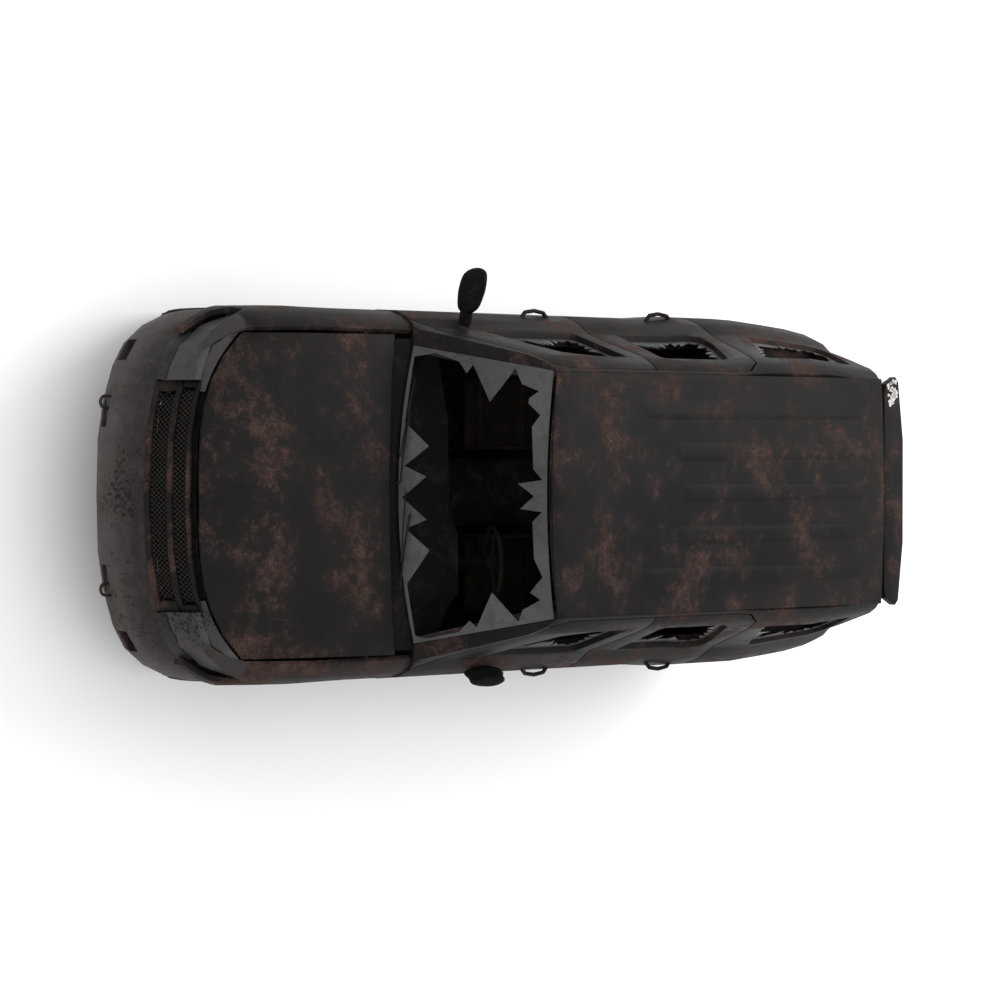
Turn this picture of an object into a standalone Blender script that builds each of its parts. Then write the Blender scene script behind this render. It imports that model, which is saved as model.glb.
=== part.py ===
"""Burnt-out, rusted full-size five-door off-road estate car, standing on its wheels.

Metres, +X to the car's left, +Y to its rear, +Z up. The origin is on the ground
under the middle of the car's overall box. The door mirror that is still whole makes
that box lopsided, so the car's own middle plane lies at CENTRE_X. The tables measure
from that plane. Every body panel, the ladder frame, the axles and the wheels are
objects of their own.
"""

import math

import bmesh
import bpy
from mathutils import Matrix, Vector

# Main sizes
CENTRE_X = 0.085
WHEELBASE = 2.946
FRONT_AXLE_Y = -1.575
REAR_AXLE_Y = FRONT_AXLE_Y + WHEELBASE
FRONT_TRACK_HALF = 0.867
REAR_TRACK_HALF = 0.856
SEAT = 0.0003
RUNNING = 0.0006
SIDES = (("L", 1), ("R", -1))

# Tyres and rims
TYRE_RADIUS = 0.402
TYRE_HALF_WIDTH = 0.1325
BEAD_RADIUS = 0.222
RIM_HALF_WIDTH = 0.105
RIM_WALL = 0.012
HUB_FACE = 0.031
HUB_BORE = 0.040
SPINDLE = 0.0385
RIM_HOLES = 6
RIM_HOLE_RADIUS = 0.034
RIM_HOLE_CIRCLE = 0.135
ROUND_STEPS = 28
HUB_STEPS = 16

# Gaps at the doors and lids
DOOR_GAP = 0.009
DOOR_DEPTH = 0.070
POCKET_DEPTH = 0.079
WALL_DEPTH = 0.120
FLANGE = 0.032
LID_GAP = 0.009

# Doors, as (Y, Z, slant) points: the slant leans an edge back from the skin
# so that the edge comes free as the door swings
SILL_Z = 0.470
FRONT_DOOR_Y = -0.976
MID_SEAM_LOW = 0.300
MID_SEAM_TOP = 0.262
REAR_SEAM_BELT = 1.300
REAR_SEAM_TOP = 1.085
BELT_Z = 1.235
ROOF_SEAM_Z = 1.835
DOOR_TOP_Z = ROOF_SEAM_Z - 0.029
WINDOW_TOP_Z = ROOF_SEAM_Z - 0.130
FRONT_DOOR = (
    (FRONT_DOOR_Y, SILL_Z, 0.0),
    (MID_SEAM_LOW, SILL_Z, 0.30),
    (MID_SEAM_LOW, 1.20, 0.30),
    (MID_SEAM_TOP, DOOR_TOP_Z, 0.30),
    (-0.400, DOOR_TOP_Z, 0.0),
    (-0.515, DOOR_TOP_Z - 0.031, 0.0),
    (-0.865, 1.222, 0.0),
    (FRONT_DOOR_Y, 1.165, 0.0),
)
REAR_DOOR = (
    (MID_SEAM_LOW + DOOR_GAP, SILL_Z, 0.0),
    (REAR_AXLE_Y - 0.518, SILL_Z, 0.0),
    (REAR_AXLE_Y - 0.480, 0.630, 0.0),
    (REAR_AXLE_Y - 0.368, 0.798, 0.0),
    (REAR_AXLE_Y - 0.200, 0.910, 0.0),
    (REAR_SEAM_BELT - 0.055, 0.990, 0.45),
    (REAR_SEAM_BELT, BELT_Z, 0.45),
    (REAR_SEAM_TOP + 0.03, DOOR_TOP_Z - 0.046, 0.45),
    (REAR_SEAM_TOP - 0.06, DOOR_TOP_Z, 0.45),
    (MID_SEAM_TOP + DOOR_GAP, DOOR_TOP_Z, 0.0),
    (MID_SEAM_LOW + DOOR_GAP, 1.20, 0.0),
)
FRONT_WINDOW = (
    (-0.500, 1.245), (0.165, 1.245), (0.185, 1.270), (0.150, WINDOW_TOP_Z - 0.005),
    (-0.100, WINDOW_TOP_Z - 0.010), (-0.290, WINDOW_TOP_Z - 0.075),
    (-0.410, BELT_Z + 0.457 * (WINDOW_TOP_Z - BELT_Z)),
)
REAR_WINDOW = (
    (0.520, 1.245), (1.080, 1.245), (1.160, 1.290),
    (1.120, BELT_Z + 0.394 * (WINDOW_TOP_Z - BELT_Z)), (0.965, WINDOW_TOP_Z - 0.015),
    (0.920, WINDOW_TOP_Z), (0.440, WINDOW_TOP_Z), (0.425, WINDOW_TOP_Z - 0.025),
)
QUARTER_WINDOW = (
    (1.600, 1.262), (2.180, 1.262), (2.215, 1.300), (2.010, WINDOW_TOP_Z - 0.015),
    (1.980, WINDOW_TOP_Z - 0.005), (1.300, WINDOW_TOP_Z - 0.005),
    (1.275, WINDOW_TOP_Z - 0.025), (1.570, 1.290),
)

# Body side section, as (Z, X) from the rocker to the drip seam
SIDE_SECTION = (
    (0.360, 0.905), (0.460, 0.962), (0.620, 0.992), (0.900, 1.004), (1.060, 0.990),
    (1.160, 0.950), (1.215, 0.908), (1.250, 0.885), (WINDOW_TOP_Z - 0.005, 0.750),
    (ROOF_SEAM_Z - 0.060, 0.712), (ROOF_SEAM_Z, 0.658),
)
# How far the side is pulled in along the car, as (Y, inset)
SIDE_PLAN = (
    (-1.020, 0.0), (0.000, 0.0), (0.900, 0.0), (1.150, -0.016), (1.650, -0.016),
    (1.900, 0.004), (2.120, 0.024), (2.300, 0.052), (2.480, 0.110),
)
# Fender section, as (Z below the belt or share of the height above it, X)
FENDER_LOW = ((0.400, 0.940), (0.620, 0.988), (0.850, 1.004))
FENDER_HIGH = ((0.45, 0.992), (0.72, 0.962), (0.90, 0.922), (1.00, 0.884))
FENDER_WALL = 0.030
FENDER_REAR_Y = FRONT_DOOR_Y - DOOR_GAP
# Fender stations, as (Y, height of the seam to the hood, inset)
FENDER_PLAN = (
    (FENDER_REAR_Y, 1.210, 0.000), (-1.300, 1.192, 0.000), (-1.650, 1.165, -0.006),
    (-1.900, 1.138, 0.002), (-2.060, 1.112, 0.008), (-2.140, 1.094, 0.032),
    (-2.220, 1.074, 0.072), (-2.300, 1.055, 0.125),
)
ARCH_RADIUS = 0.475
ARCH_Z = 0.420
BUMPER_TOP_Z = 0.800
REAR_BUMPER_TOP_Z = 0.690

# Nose outline seen from above, as (X, Y), and its face, as (Z, setback)
NOSE_PLAN = (
    (0.000, -2.565), (0.300, -2.552), (0.500, -2.512), (0.606, -2.474), (0.700, -2.436),
    (0.820, -2.352), (0.915, -2.220), (0.972, -2.080), (0.994, -1.960),
)
BUMPER_FACE = (
    (0.420, 0.050), (0.500, 0.012), (0.560, 0.000), (0.640, 0.010),
    (0.700, 0.050), (BUMPER_TOP_Z - SEAT, 0.082),
)
BUMPER_WALL = 0.060
# Openings in the bumper, as (low X, high X, low Y, high Y, low Z, high Z)
BUMPER_RECESSES = (
    (0.36, 0.62, -2.700, -2.478, 0.455, 0.530), (0.71, 0.82, -2.600, -2.300, 0.455, 0.560),
)
GRILLE_HALF = 0.600
GRILLE_WALL = 0.045
GRILLE_FACE = ((0.800, 0.084), (0.900, 0.120), (1.000, 0.168), (1.041, 0.192))
GRILLE_OPENINGS = ((0.545, 0.860, 0.932), (0.565, 0.964, 1.024))
MESH_WIRE = 0.0035
LAMP_WALL = 0.050
LAMP_FACE = ((0.800, 0.078), (0.900, 0.110), (1.000, 0.150), (1.070, 0.190))

# Hood, as (share of the way back, edge height, crown) and its plan
HOOD_HALF = 0.858
HOOD_FRONT_Y = -2.352
HOOD_FRONT_BOW = 0.290
HOOD_REAR_Y = -1.122
HOOD_REAR_BOW = -0.090
HOOD_FRONT_Z = 1.070
HOOD_RISE = 0.140
HOOD_CROWN = 0.045
HOOD_WALL = 0.022
HOOD_DOME = 0.010
HOOD_STOP_Y = -1.300
HOOD_STOP_GAP = 0.0064

# Roof and windscreen
ROOF_HALF = 0.656
ROOF_EDGE_Z = ROOF_SEAM_Z + 0.006
ROOF_CROWN = 0.045
ROOF_FRONT_Y = -0.520
ROOF_REAR_Y = 2.112
SCREEN_BASE = (0.800, -1.000, 1.222)
SCREEN_TOP = (0.664, -0.522, ROOF_SEAM_Z - 0.025)
SCREEN_BOW_BASE = 0.110
SCREEN_BOW_TOP = 0.080
SCREEN_CROWN_TOP = 0.030
GLASS = 0.006

# Ladder frame, as (Y, Z) of the rail's centre
RAIL_X = 0.440
RAIL_HALF_WIDTH = 0.0375
RAIL_HALF_HEIGHT = 0.060
RAIL_LINE = (
    (-2.400, 0.570), (-1.950, 0.570), (-1.450, 0.500), (-1.050, 0.440),
    (0.780, 0.440), (1.080, 0.560), (1.680, 0.560), (2.020, 0.520), (2.400, 0.520),
)
REAR_RAIL_TOP = RAIL_LINE[-1][1] + RAIL_HALF_HEIGHT
# Where the front horns and the rear kick-up are welded to the middle of the frame
FRAME_JOINTS = (RAIL_LINE[3][0], RAIL_LINE[4][0])
# Cross tubes of the frame, as (Y, Z, radius)
CROSSINGS = (
    (-2.33, 0.570, 0.040), (-1.30, 0.408, 0.028), (-0.55, 0.392, 0.026), (0.55, 0.366, 0.025),
    (0.86, 0.512, 0.028), (1.72, 0.555, 0.035), (2.33, 0.520, 0.040),
)
FLOOR_Z = 0.5003
REAR_FLOOR_Z = 0.6203
FLOOR_HALF = 0.845
FLOOR_WALL = 0.012
TUNNEL_HALF = 0.220
WHEELHOUSE_X = 0.685
WHEELHOUSE_RADIUS = 0.474
FLOOR_COLUMNS = (
    -FLOOR_HALF, -0.692, -0.680, -0.460, -0.235, -0.185, 0.185, 0.235, 0.460, 0.680, 0.692,
    FLOOR_HALF,
)
FLOOR_ROWS = (
    -0.992, -0.200, 0.560, 0.660, 0.860, 0.930, 1.000, 1.080, 1.200, 1.371, 1.540, 1.660, 1.745,
    1.815, 1.860, 2.330,
)
TUNNEL_RISE = 0.160

MUFFLER_Z = 0.390
TANK_TOP_Z = 0.5005

# Running boards
BOARD_FRONT_Y = -1.060
BOARD_REAR_Y = 0.898
BOARD_INNER_X = 0.839
BOARD_OUTER_X = 1.000
BOARD_Z = 0.335

# Steering and hinges
KINGPIN_X = FRONT_TRACK_HALF - 0.067
ARM_SPREAD = 0.215
ARM_PIVOT_X = RAIL_X - 0.0225
ARM_PIVOT_Z = 0.345
ARM_BUSH = 0.034
ARM_BALL_Z = 0.240
KNUCKLE_LOW = 0.279
DOOR_AXIS_X = 1.001
DOOR_AXIS_Z = 0.850
FRONT_DOOR_AXIS_Y = FRONT_DOOR_Y - 0.005
REAR_DOOR_AXIS_Y = MID_SEAM_TOP
HOOD_AXIS = (0.0, -1.118, 1.220)
GATE_AXIS = (0.0, 2.120, 1.846)
STEERING_WHEEL = (0.385, -0.285, 1.075)
STEERING_TILT = math.radians(28)
STEERING_RADIUS = 0.195
COLUMN_LENGTH = 0.3226


def clear_scene():
    """Remove what the start-up file holds."""
    for item in list(bpy.data.objects):
        bpy.data.objects.remove(item, do_unlink=True)


def new_collection(name):
    collection = bpy.data.collections.new(name)
    bpy.context.scene.collection.children.link(collection)
    return collection


clear_scene()
PARTS = new_collection("car_wreck")
TOOLS = new_collection("cutters")


def finish(name, colour, roughness, metallic):
    """A Principled material of an object's own."""
    material = bpy.data.materials.new(name)
    material.use_nodes = True
    shader = material.node_tree.nodes["Principled BSDF"]
    shader.inputs["Base Color"].default_value = (*colour, 1.0)
    shader.inputs["Roughness"].default_value = roughness
    shader.inputs["Metallic"].default_value = metallic
    return material


FINISHES = {
    "burnt_paint": ((0.030, 0.026, 0.025), 0.78, 0.2),
    "ash_plastic": ((0.090, 0.080, 0.074), 0.85, 0.0),
    "frame_black": ((0.022, 0.022, 0.024), 0.80, 0.3),
    "bare_steel": ((0.060, 0.058, 0.056), 0.65, 0.6),
    "char": ((0.012, 0.012, 0.012), 0.92, 0.0),
    "rubber": ((0.018, 0.018, 0.018), 0.90, 0.0),
    "dull_glass": ((0.120, 0.115, 0.108), 0.70, 0.0),
    "verdigris": ((0.080, 0.230, 0.180), 0.60, 0.4),
}


def tool(bm, name="tool"):
    """A working solid made from a bmesh, kept with the cutters."""
    mesh = bpy.data.meshes.new(name)
    bm.normal_update()
    bm.to_mesh(mesh)
    bm.free()
    obj = bpy.data.objects.new(name, mesh)
    TOOLS.objects.link(obj)
    obj.hide_render = True
    obj.display_type = "WIRE"
    return obj


def block(low, high):
    """A box from its low corner to its high corner."""
    bm = bmesh.new()
    bmesh.ops.create_cube(bm, size=1.0)
    size = Vector(high) - Vector(low)
    bmesh.ops.scale(bm, vec=size, verts=bm.verts)
    bmesh.ops.translate(bm, vec=Vector(low) + size / 2, verts=bm.verts)
    return tool(bm, "block")


def rod(start, end, radius, steps=16, end_radius=None):
    """A cylinder or cone between two points."""
    start = Vector(start)
    line = Vector(end) - start
    bm = bmesh.new()
    bmesh.ops.create_cone(
        bm, cap_ends=True, segments=steps, radius1=radius,
        radius2=radius if end_radius is None else end_radius, depth=line.length,
    )
    turn = line.to_track_quat("Z", "Y").to_matrix().to_4x4()
    bmesh.ops.transform(bm, matrix=Matrix.Translation(start + line / 2) @ turn, verts=bm.verts)
    return tool(bm, "rod")


def ball(centre, radius, steps=16):
    bm = bmesh.new()
    bmesh.ops.create_uvsphere(bm, u_segments=steps, v_segments=steps // 2, radius=radius)
    bmesh.ops.translate(bm, vec=centre, verts=bm.verts)
    return tool(bm, "ball")


def loft(rings):
    """A closed solid through sections of as many points each."""
    bm = bmesh.new()
    rows = [[bm.verts.new(point) for point in ring] for ring in rings]
    count = len(rows[0])
    for low, high in zip(rows, rows[1:]):
        for k in range(count):
            step = (k + 1) % count
            bm.faces.new((low[k], low[step], high[step], high[k]))
    bm.faces.new(tuple(reversed(rows[0])))
    bm.faces.new(tuple(rows[-1]))
    bmesh.ops.recalc_face_normals(bm, faces=bm.faces)
    return tool(bm, "loft")


def mesh_of(obj):
    """The evaluated mesh of an object, in world space."""
    bpy.context.view_layer.update()
    evaluated = obj.evaluated_get(bpy.context.evaluated_depsgraph_get())
    mesh = bpy.data.meshes.new_from_object(evaluated)
    mesh.transform(obj.matrix_world)
    return mesh


def settled(obj, merge=0.00005):
    """Replace a curve or an object with modifiers by its own clean mesh."""
    bm = bmesh.new()
    bm.from_mesh(mesh_of(obj))
    bmesh.ops.remove_doubles(bm, verts=bm.verts, dist=merge)
    bmesh.ops.recalc_face_normals(bm, faces=bm.faces)
    bpy.data.objects.remove(obj, do_unlink=True)
    return tool(bm)


PLANES = {
    "X": Matrix(((0, 0, 1, 0), (1, 0, 0, 0), (0, 1, 0, 0), (0, 0, 0, 1))),
    "Y": Matrix(((1, 0, 0, 0), (0, 0, -1, 0), (0, 1, 0, 0), (0, 0, 0, 1))),
    "Z": Matrix.Identity(4),
}


def slab(outline, axis, low, high):
    """A flat outline thickened along an axis: (Y, Z), (X, Z) or (X, Y) points."""
    curve = bpy.data.curves.new("outline", "CURVE")
    curve.dimensions = "2D"
    curve.fill_mode = "BOTH"
    curve.extrude = (high - low) / 2
    spline = curve.splines.new("POLY")
    spline.points.add(len(outline) - 1)
    for point, (u, v) in zip(spline.points, outline):
        point.co = (u, v, 0.0, 1.0)
    spline.use_cyclic_u = True
    obj = bpy.data.objects.new("outline", curve)
    TOOLS.objects.link(obj)
    middle = (low + high) / 2
    shift = {"X": (middle, 0, 0), "Y": (0, middle, 0), "Z": (0, 0, middle)}[axis]
    obj.matrix_world = Matrix.Translation(shift) @ PLANES[axis]
    return settled(obj)


def tube(points, radius, sides=2):
    """A round bar or pipe along a list of points."""
    curve = bpy.data.curves.new("bar", "CURVE")
    curve.dimensions = "3D"
    curve.bevel_depth = radius
    curve.bevel_resolution = sides
    curve.use_fill_caps = True
    spline = curve.splines.new("POLY")
    spline.points.add(len(points) - 1)
    for point, place in zip(spline.points, points):
        point.co = (*place, 1.0)
    obj = bpy.data.objects.new("bar", curve)
    TOOLS.objects.link(obj)
    return settled(obj)


def turned(profile, centre, steps=ROUND_STEPS):
    """A closed profile of (radius, X) points spun about a line along X."""
    mesh = bpy.data.meshes.new("profile")
    points = [(x, 0.0, radius) for radius, x in profile]
    edges = [(k, (k + 1) % len(points)) for k in range(len(points))]
    mesh.from_pydata(points, edges, [])
    obj = bpy.data.objects.new("profile", mesh)
    TOOLS.objects.link(obj)
    screw = obj.modifiers.new("spin", "SCREW")
    screw.axis = "X"
    screw.steps = steps
    screw.render_steps = steps
    screw.use_merge_vertices = True
    screw.merge_threshold = 0.00005
    obj.location = centre
    return settled(obj)


def sheet(across, along, rule, wall):
    """A grid shaped by a rule of two shares, thickened downwards or inwards."""
    bm = bmesh.new()
    bmesh.ops.create_grid(bm, x_segments=across, y_segments=along, size=1.0)
    for vert in bm.verts:
        vert.co = rule((vert.co.x + 1) / 2, (vert.co.y + 1) / 2)
    obj = tool(bm, "sheet")
    solid = obj.modifiers.new("wall", "SOLIDIFY")
    solid.thickness = wall
    solid.offset = -1.0
    return settled(obj)


def fuse(base, operation, others):
    """Join, cut or limit a solid by other solids."""
    for other in others:
        step = base.modifiers.new(operation.lower(), "BOOLEAN")
        step.operation = operation
        step.solver = "EXACT"
        step.object = other
    return base


def mirrored(obj):
    """The same solid on the other side of the car."""
    mesh = mesh_of(obj)
    mesh.transform(Matrix.Scale(-1, 4, (1, 0, 0)))
    mesh.flip_normals()
    bm = bmesh.new()
    bm.from_mesh(mesh)
    return tool(bm)


def make_part(name, finish_name, solid, hinge=None, smooth=None):
    """Name a finished solid, dress it and hang it on its hinge."""
    mesh = mesh_of(solid)
    mesh.transform(Matrix.Translation((CENTRE_X, 0, 0)))
    obj = bpy.data.objects.new(name, mesh)
    PARTS.objects.link(obj)
    colour, roughness, metallic = FINISHES[finish_name]
    obj.data.materials.clear()
    obj.data.materials.append(finish(name + "_finish", colour, roughness, metallic))
    if smooth is not None:
        obj.data.shade_smooth()
        obj.data.set_sharp_from_angle(angle=math.radians(smooth))
    if hinge is not None:
        obj.parent = hinge
        obj.matrix_parent_inverse = Matrix.Translation(-hinge.location)
    return obj


def pivot(name, place, parent=None):
    """An empty on a joint's axis."""
    empty = bpy.data.objects.new(name, None)
    PARTS.objects.link(empty)
    empty.location = Vector(place) + Vector((CENTRE_X, 0, 0))
    if parent is not None:
        empty.parent = parent
        empty.matrix_parent_inverse = Matrix.Translation(-parent.location)
    return empty


def between(table, place, column=1):
    """Straight interpolation in a table whose first column rises or falls."""
    rows = sorted(table, key=lambda row: row[0])
    if place <= rows[0][0]:
        return rows[0][column]
    for low, high in zip(rows, rows[1:]):
        if place <= high[0]:
            share = (place - low[0]) / (high[0] - low[0])
            return low[column] + share * (high[column] - low[column])
    return rows[-1][column]


def side_x(y, z):
    """Half width of the body's side at a station and height."""
    return between(SIDE_SECTION, z) - between(SIDE_PLAN, y)


def inward(points, depth):
    """The same (Z, X) line, moved inwards along its normals."""
    moved = []
    for k, (z, x) in enumerate(points):
        before = points[max(k - 1, 0)]
        after = points[min(k + 1, len(points) - 1)]
        rise = after[0] - before[0]
        run = after[1] - before[1]
        length = math.hypot(rise, run)
        moved.append((z + depth * run / length, x - depth * rise / length))
    return moved


def side_band(near, far):
    """The body side between two depths below the skin; a negative depth is outside."""
    rings = []
    for y, inset in SIDE_PLAN:
        skin = [(z, x - inset) for z, x in SIDE_SECTION]
        outer = inward(skin, near)
        inner = inward(skin, far)
        ring = [(x, y, z) for z, x in outer]
        ring += [(x, y, z) for z, x in reversed(inner)]
        rings.append(ring)
    return loft(rings)


def pocket_space(depth):
    """All that lies outside the body side, and its outer layer to a depth."""
    rings = []
    for y, inset in SIDE_PLAN:
        skin = inward([(z, x - inset) for z, x in SIDE_SECTION], depth)
        ring = [(1.3, y, skin[0][0] - 0.2), (1.3, y, skin[-1][0] + 0.3)]
        ring += [(skin[-1][1] - 0.1, y, skin[-1][0] + 0.3)]
        ring += [(x, y, z) for z, x in reversed(skin)]
        ring += [(skin[0][1], y, skin[0][0] - 0.2)]
        rings.append(ring)
    return loft(rings)


def grown(outline, gap):
    """A (Y, Z) outline moved outwards by a gap, or inwards by a negative one."""
    count = len(outline)
    area = sum(
        outline[k][0] * outline[(k + 1) % count][1] - outline[(k + 1) % count][0] * outline[k][1]
        for k in range(count)
    )
    sign = 1.0 if area > 0 else -1.0
    result = []
    for k in range(count):
        here = Vector(outline[k][:2])
        before = (here - Vector(outline[k - 1][:2])).normalized()
        after = (Vector(outline[(k + 1) % count][:2]) - here).normalized()
        normal_a = Vector((before.y, -before.x)) * sign
        normal_b = Vector((after.y, -after.x)) * sign
        corner = normal_a + normal_b
        corner = corner / max(corner.dot(normal_a), 0.35)
        place = here + corner * gap
        result.append((place.x, place.y) + tuple(outline[k][2:]))
    return result


def door_block(outline):
    """A door's outline through the body side, its slanted edges leaning with depth."""
    levels = [z for z, _ in SIDE_SECTION]
    points = []
    for k, here in enumerate(outline):
        after = outline[(k + 1) % len(outline)]
        points.append(here)
        if here[2] and after[2]:
            low, high = sorted((here[1], after[1]))
            stops = [z for z in levels if low + 0.01 < z < high - 0.01]
            for z in stops if after[1] > here[1] else reversed(stops):
                share = (z - here[1]) / (after[1] - here[1])
                points.append(tuple(a + share * (b - a) for a, b in zip(here, after)))
    rings = []
    for x in (0.40, 1.20):
        rings.append([(x, y + slant * (x - side_x(y, z)), z) for y, z, slant in points])
    return loft(rings)


def window_hole(outline):
    return slab(outline, "X", 0.3, 1.3)


def arch_cut(axle_y, radius, inner, outer):
    return rod((inner, axle_y, ARCH_Z), (outer, axle_y, ARCH_Z), radius, 32)


def body_side():
    """Pillars, rocker, quarter panel and roof rail of the left side."""
    front = FENDER_REAR_Y + SEAT
    outline = [
        (front, 0.361), (REAR_AXLE_Y, 0.361), (REAR_AXLE_Y, REAR_BUMPER_TOP_Z),
        (2.395, REAR_BUMPER_TOP_Z), (2.400, 0.900), (2.385, 1.080), (2.348, 1.225),
        (2.253, 1.500), (2.160, ROOF_SEAM_Z - 0.110), (2.112, ROOF_SEAM_Z),
        (-0.500, ROOF_SEAM_Z), (-0.530, DOOR_TOP_Z),
        (-1.000, 1.222), (-1.000, 1.2105), (front, 1.2105),
    ]
    wall = side_band(0.0, WALL_DEPTH)
    fuse(wall, "INTERSECT", [slab(outline, "X", 0.3, 1.3)])
    pocket = pocket_space(POCKET_DEPTH)
    cuts = [gate_space(), screen_space()]
    for shape in (FRONT_DOOR, REAR_DOOR):
        seam = slab([(y, z) for y, z, _ in grown(shape, DOOR_GAP)], "X", 0.3, 1.4)
        fuse(seam, "INTERSECT", [pocket])
        cuts.append(settled(seam))
        cuts.append(slab([(y, z) for y, z, _ in grown(shape, -FLANGE)], "X", 0.2, 1.4))
    cuts.append(window_hole(QUARTER_WINDOW))
    cuts.append(arch_cut(REAR_AXLE_Y, ARCH_RADIUS, 0.6, 1.2))
    fuse(wall, "DIFFERENCE", cuts)
    buffers = side_band(DOOR_DEPTH + RUNNING, WALL_DEPTH - 0.010)
    places = [
        block((0.4, y - 0.010, z - 0.030), (1.2, y + 0.010, z + 0.030)) for y, z in DOOR_BUFFERS
    ]
    fuse(buffers, "INTERSECT", [settled(fuse(places[0], "UNION", places[1:]))])
    gate_stop = block((0.785, 2.300, 0.880), (0.870, GATE_STOP_Y, 0.920))
    return settled(fuse(wall, "UNION", [settled(buffers), gate_stop]))


def handle_loop(y, z):
    """A pull handle standing off the door, with a gap for the fingers."""
    x = side_x(y, z)
    half = 0.105
    line = [
        (x - 0.012, y - half, z), (x + 0.024, y - half + 0.035, z),
        (x + 0.034, y, z), (x + 0.024, y + half - 0.035, z), (x - 0.012, y + half, z),
    ]
    return tube(line, 0.012)


# Rubber stops that a closed door lies on, as (Y, Z)
DOOR_BUFFERS = (
    (MID_SEAM_LOW - 0.020, 0.620), (REAR_SEAM_BELT - 0.048, 1.215),
)
GATE_STOP_Y = 2.3359

HANDLES = {"front": (0.035, 1.075), "rear": (1.028, 1.075)}


def door(outline, window, handle):
    """One door of the left side: skin, frame and inner panel in one thickness."""
    stock = side_band(0.0, DOOR_DEPTH)
    fuse(stock, "INTERSECT", [door_block(outline)])
    fuse(stock, "DIFFERENCE", [window_hole(window)])
    fuse(stock, "UNION", [handle_loop(*handle)])
    return settled(stock)


def fender():
    """Front fender with its wheel arch, left side."""
    rings = []
    for y, seam_z, inset in FENDER_PLAN:
        belt = FENDER_LOW[-1][0]
        line = [(z, x - inset) for z, x in FENDER_LOW]
        line += [(belt + share * (seam_z - belt), x - inset) for share, x in FENDER_HIGH]
        ring = [(x, y, z) for z, x in line]
        ring += [(x, y, z) for z, x in reversed(inward(line, FENDER_WALL))]
        rings.append(ring)
    wall = loft(rings)
    arch_y = FRONT_AXLE_Y
    lower = BUMPER_TOP_Z + SEAT
    outline = [
        (FENDER_REAR_Y, 0.41), (FENDER_REAR_Y, 1.30), (-2.300, 1.30), (-2.300, lower),
        (arch_y, lower), (arch_y, 0.41),
    ]
    fuse(wall, "INTERSECT", [slab(outline, "X", 0.3, 1.3)])
    lamp_space = lamp_solid(-0.08, LAMP_WALL + SEAT, SEAT)
    fuse(wall, "DIFFERENCE", [arch_cut(arch_y, ARCH_RADIUS, 0.6, 1.2), lamp_space])
    y = HOOD_STOP_Y
    share = (y - HOOD_FRONT_Y - HOOD_FRONT_BOW) / (HOOD_REAR_Y - HOOD_FRONT_Y - HOOD_FRONT_BOW)
    top = hood_point(0.97, share).z - HOOD_WALL - HOOD_STOP_GAP
    stop = block((0.800, y - 0.010, top - 0.040), (0.880, y + 0.010, top))
    return settled(fuse(wall, "UNION", [stop]))


def nose_point(k, setback, depth):
    """A point of the nose at a plan station, set back and in from its outline."""
    side = -1 if k < 0 else 1
    rank = abs(k)
    here = Vector(NOSE_PLAN[rank])
    before = Vector(NOSE_PLAN[rank - 1]) if rank else Vector((-here.x - 0.1, here.y))
    after = Vector(NOSE_PLAN[min(rank + 1, len(NOSE_PLAN) - 1)])
    run = (after - before).normalized()
    normal = Vector((-run.y, run.x)) if rank else Vector((0.0, 1.0))
    lean = setback * (1.0 - 0.75 * abs(normal.x))
    place = here + normal * (lean + depth)
    return (side * place.x, place.y)


def nose_band(face, near, far, stations):
    """A strip of the nose between two depths, through signed plan stations."""
    rings = []
    for k in stations:
        outer = [(*nose_point(k, setback, near), z) for z, setback in face]
        inner = [(*nose_point(k, setback, far), z) for z, setback in reversed(face)]
        rings.append(outer + inner)
    return loft(rings)


def full_width(plan):
    """Signed stations of a plan table from the right corner to the left."""
    last = len(plan) - 1
    return [-k for k in range(last, 0, -1)] + list(range(0, last + 1))


def front_bumper():
    band = nose_band(BUMPER_FACE, 0.0, BUMPER_WALL, full_width(NOSE_PLAN))
    rail_end = RAIL_LINE[0][0] - SEAT
    mounts = [block((-0.30, -2.540, 0.500), (0.30, rail_end, 0.620))]
    for side in (1, -1):
        xs = sorted((side * 0.28, side * (RAIL_X + RAIL_HALF_WIDTH)))
        mounts.append(block((xs[0], -2.500, 0.540), (xs[1], rail_end, 0.620)))
    fuse(band, "UNION", mounts)
    cuts = []
    for side in (1, -1):
        for low_x, high_x, low_y, high_y, low_z, high_z in BUMPER_RECESSES:
            xs = sorted((side * low_x, side * high_x))
            cuts.append(block((xs[0], low_y, low_z), (xs[1], high_y, high_z)))
        cuts.append(arch_cut(FRONT_AXLE_Y, ARCH_RADIUS, side * 0.6, side * 1.2))
    return settled(fuse(band, "DIFFERENCE", cuts))


def grille():
    """Grille surround with two openings of crossed wire."""
    rings = []
    for x in (-GRILLE_HALF, -0.42, -0.20, 0.0, 0.20, 0.42, GRILLE_HALF):
        nose = between(NOSE_PLAN, abs(x))
        ring = [(x, nose + setback, z) for z, setback in GRILLE_FACE]
        ring += [(x, nose + setback + GRILLE_WALL, z) for z, setback in reversed(GRILLE_FACE)]
        rings.append(ring)
    panel = loft(rings)
    bars = []
    cuts = []
    for half, low, high in GRILLE_OPENINGS:
        cuts.append(block((-half, -2.7, low), (half, -2.0, high)))
        for low_x, high_x, slope in mesh_bars(half):
            bars.append(mesh_bar(low_x, high_x, slope, low, high))
    panel = settled(fuse(panel, "DIFFERENCE", cuts))
    return settled(fuse(panel, "UNION", bars))


def mesh_bars(half):
    """Where the crossed bars of one opening start and end."""
    count = 9
    pitch = 2 * half / count
    rows = []
    for k in range(count):
        left = -half + k * pitch
        rows.append((left, left + pitch, 1))
        rows.append((left, left + pitch, -1))
    return rows


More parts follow.
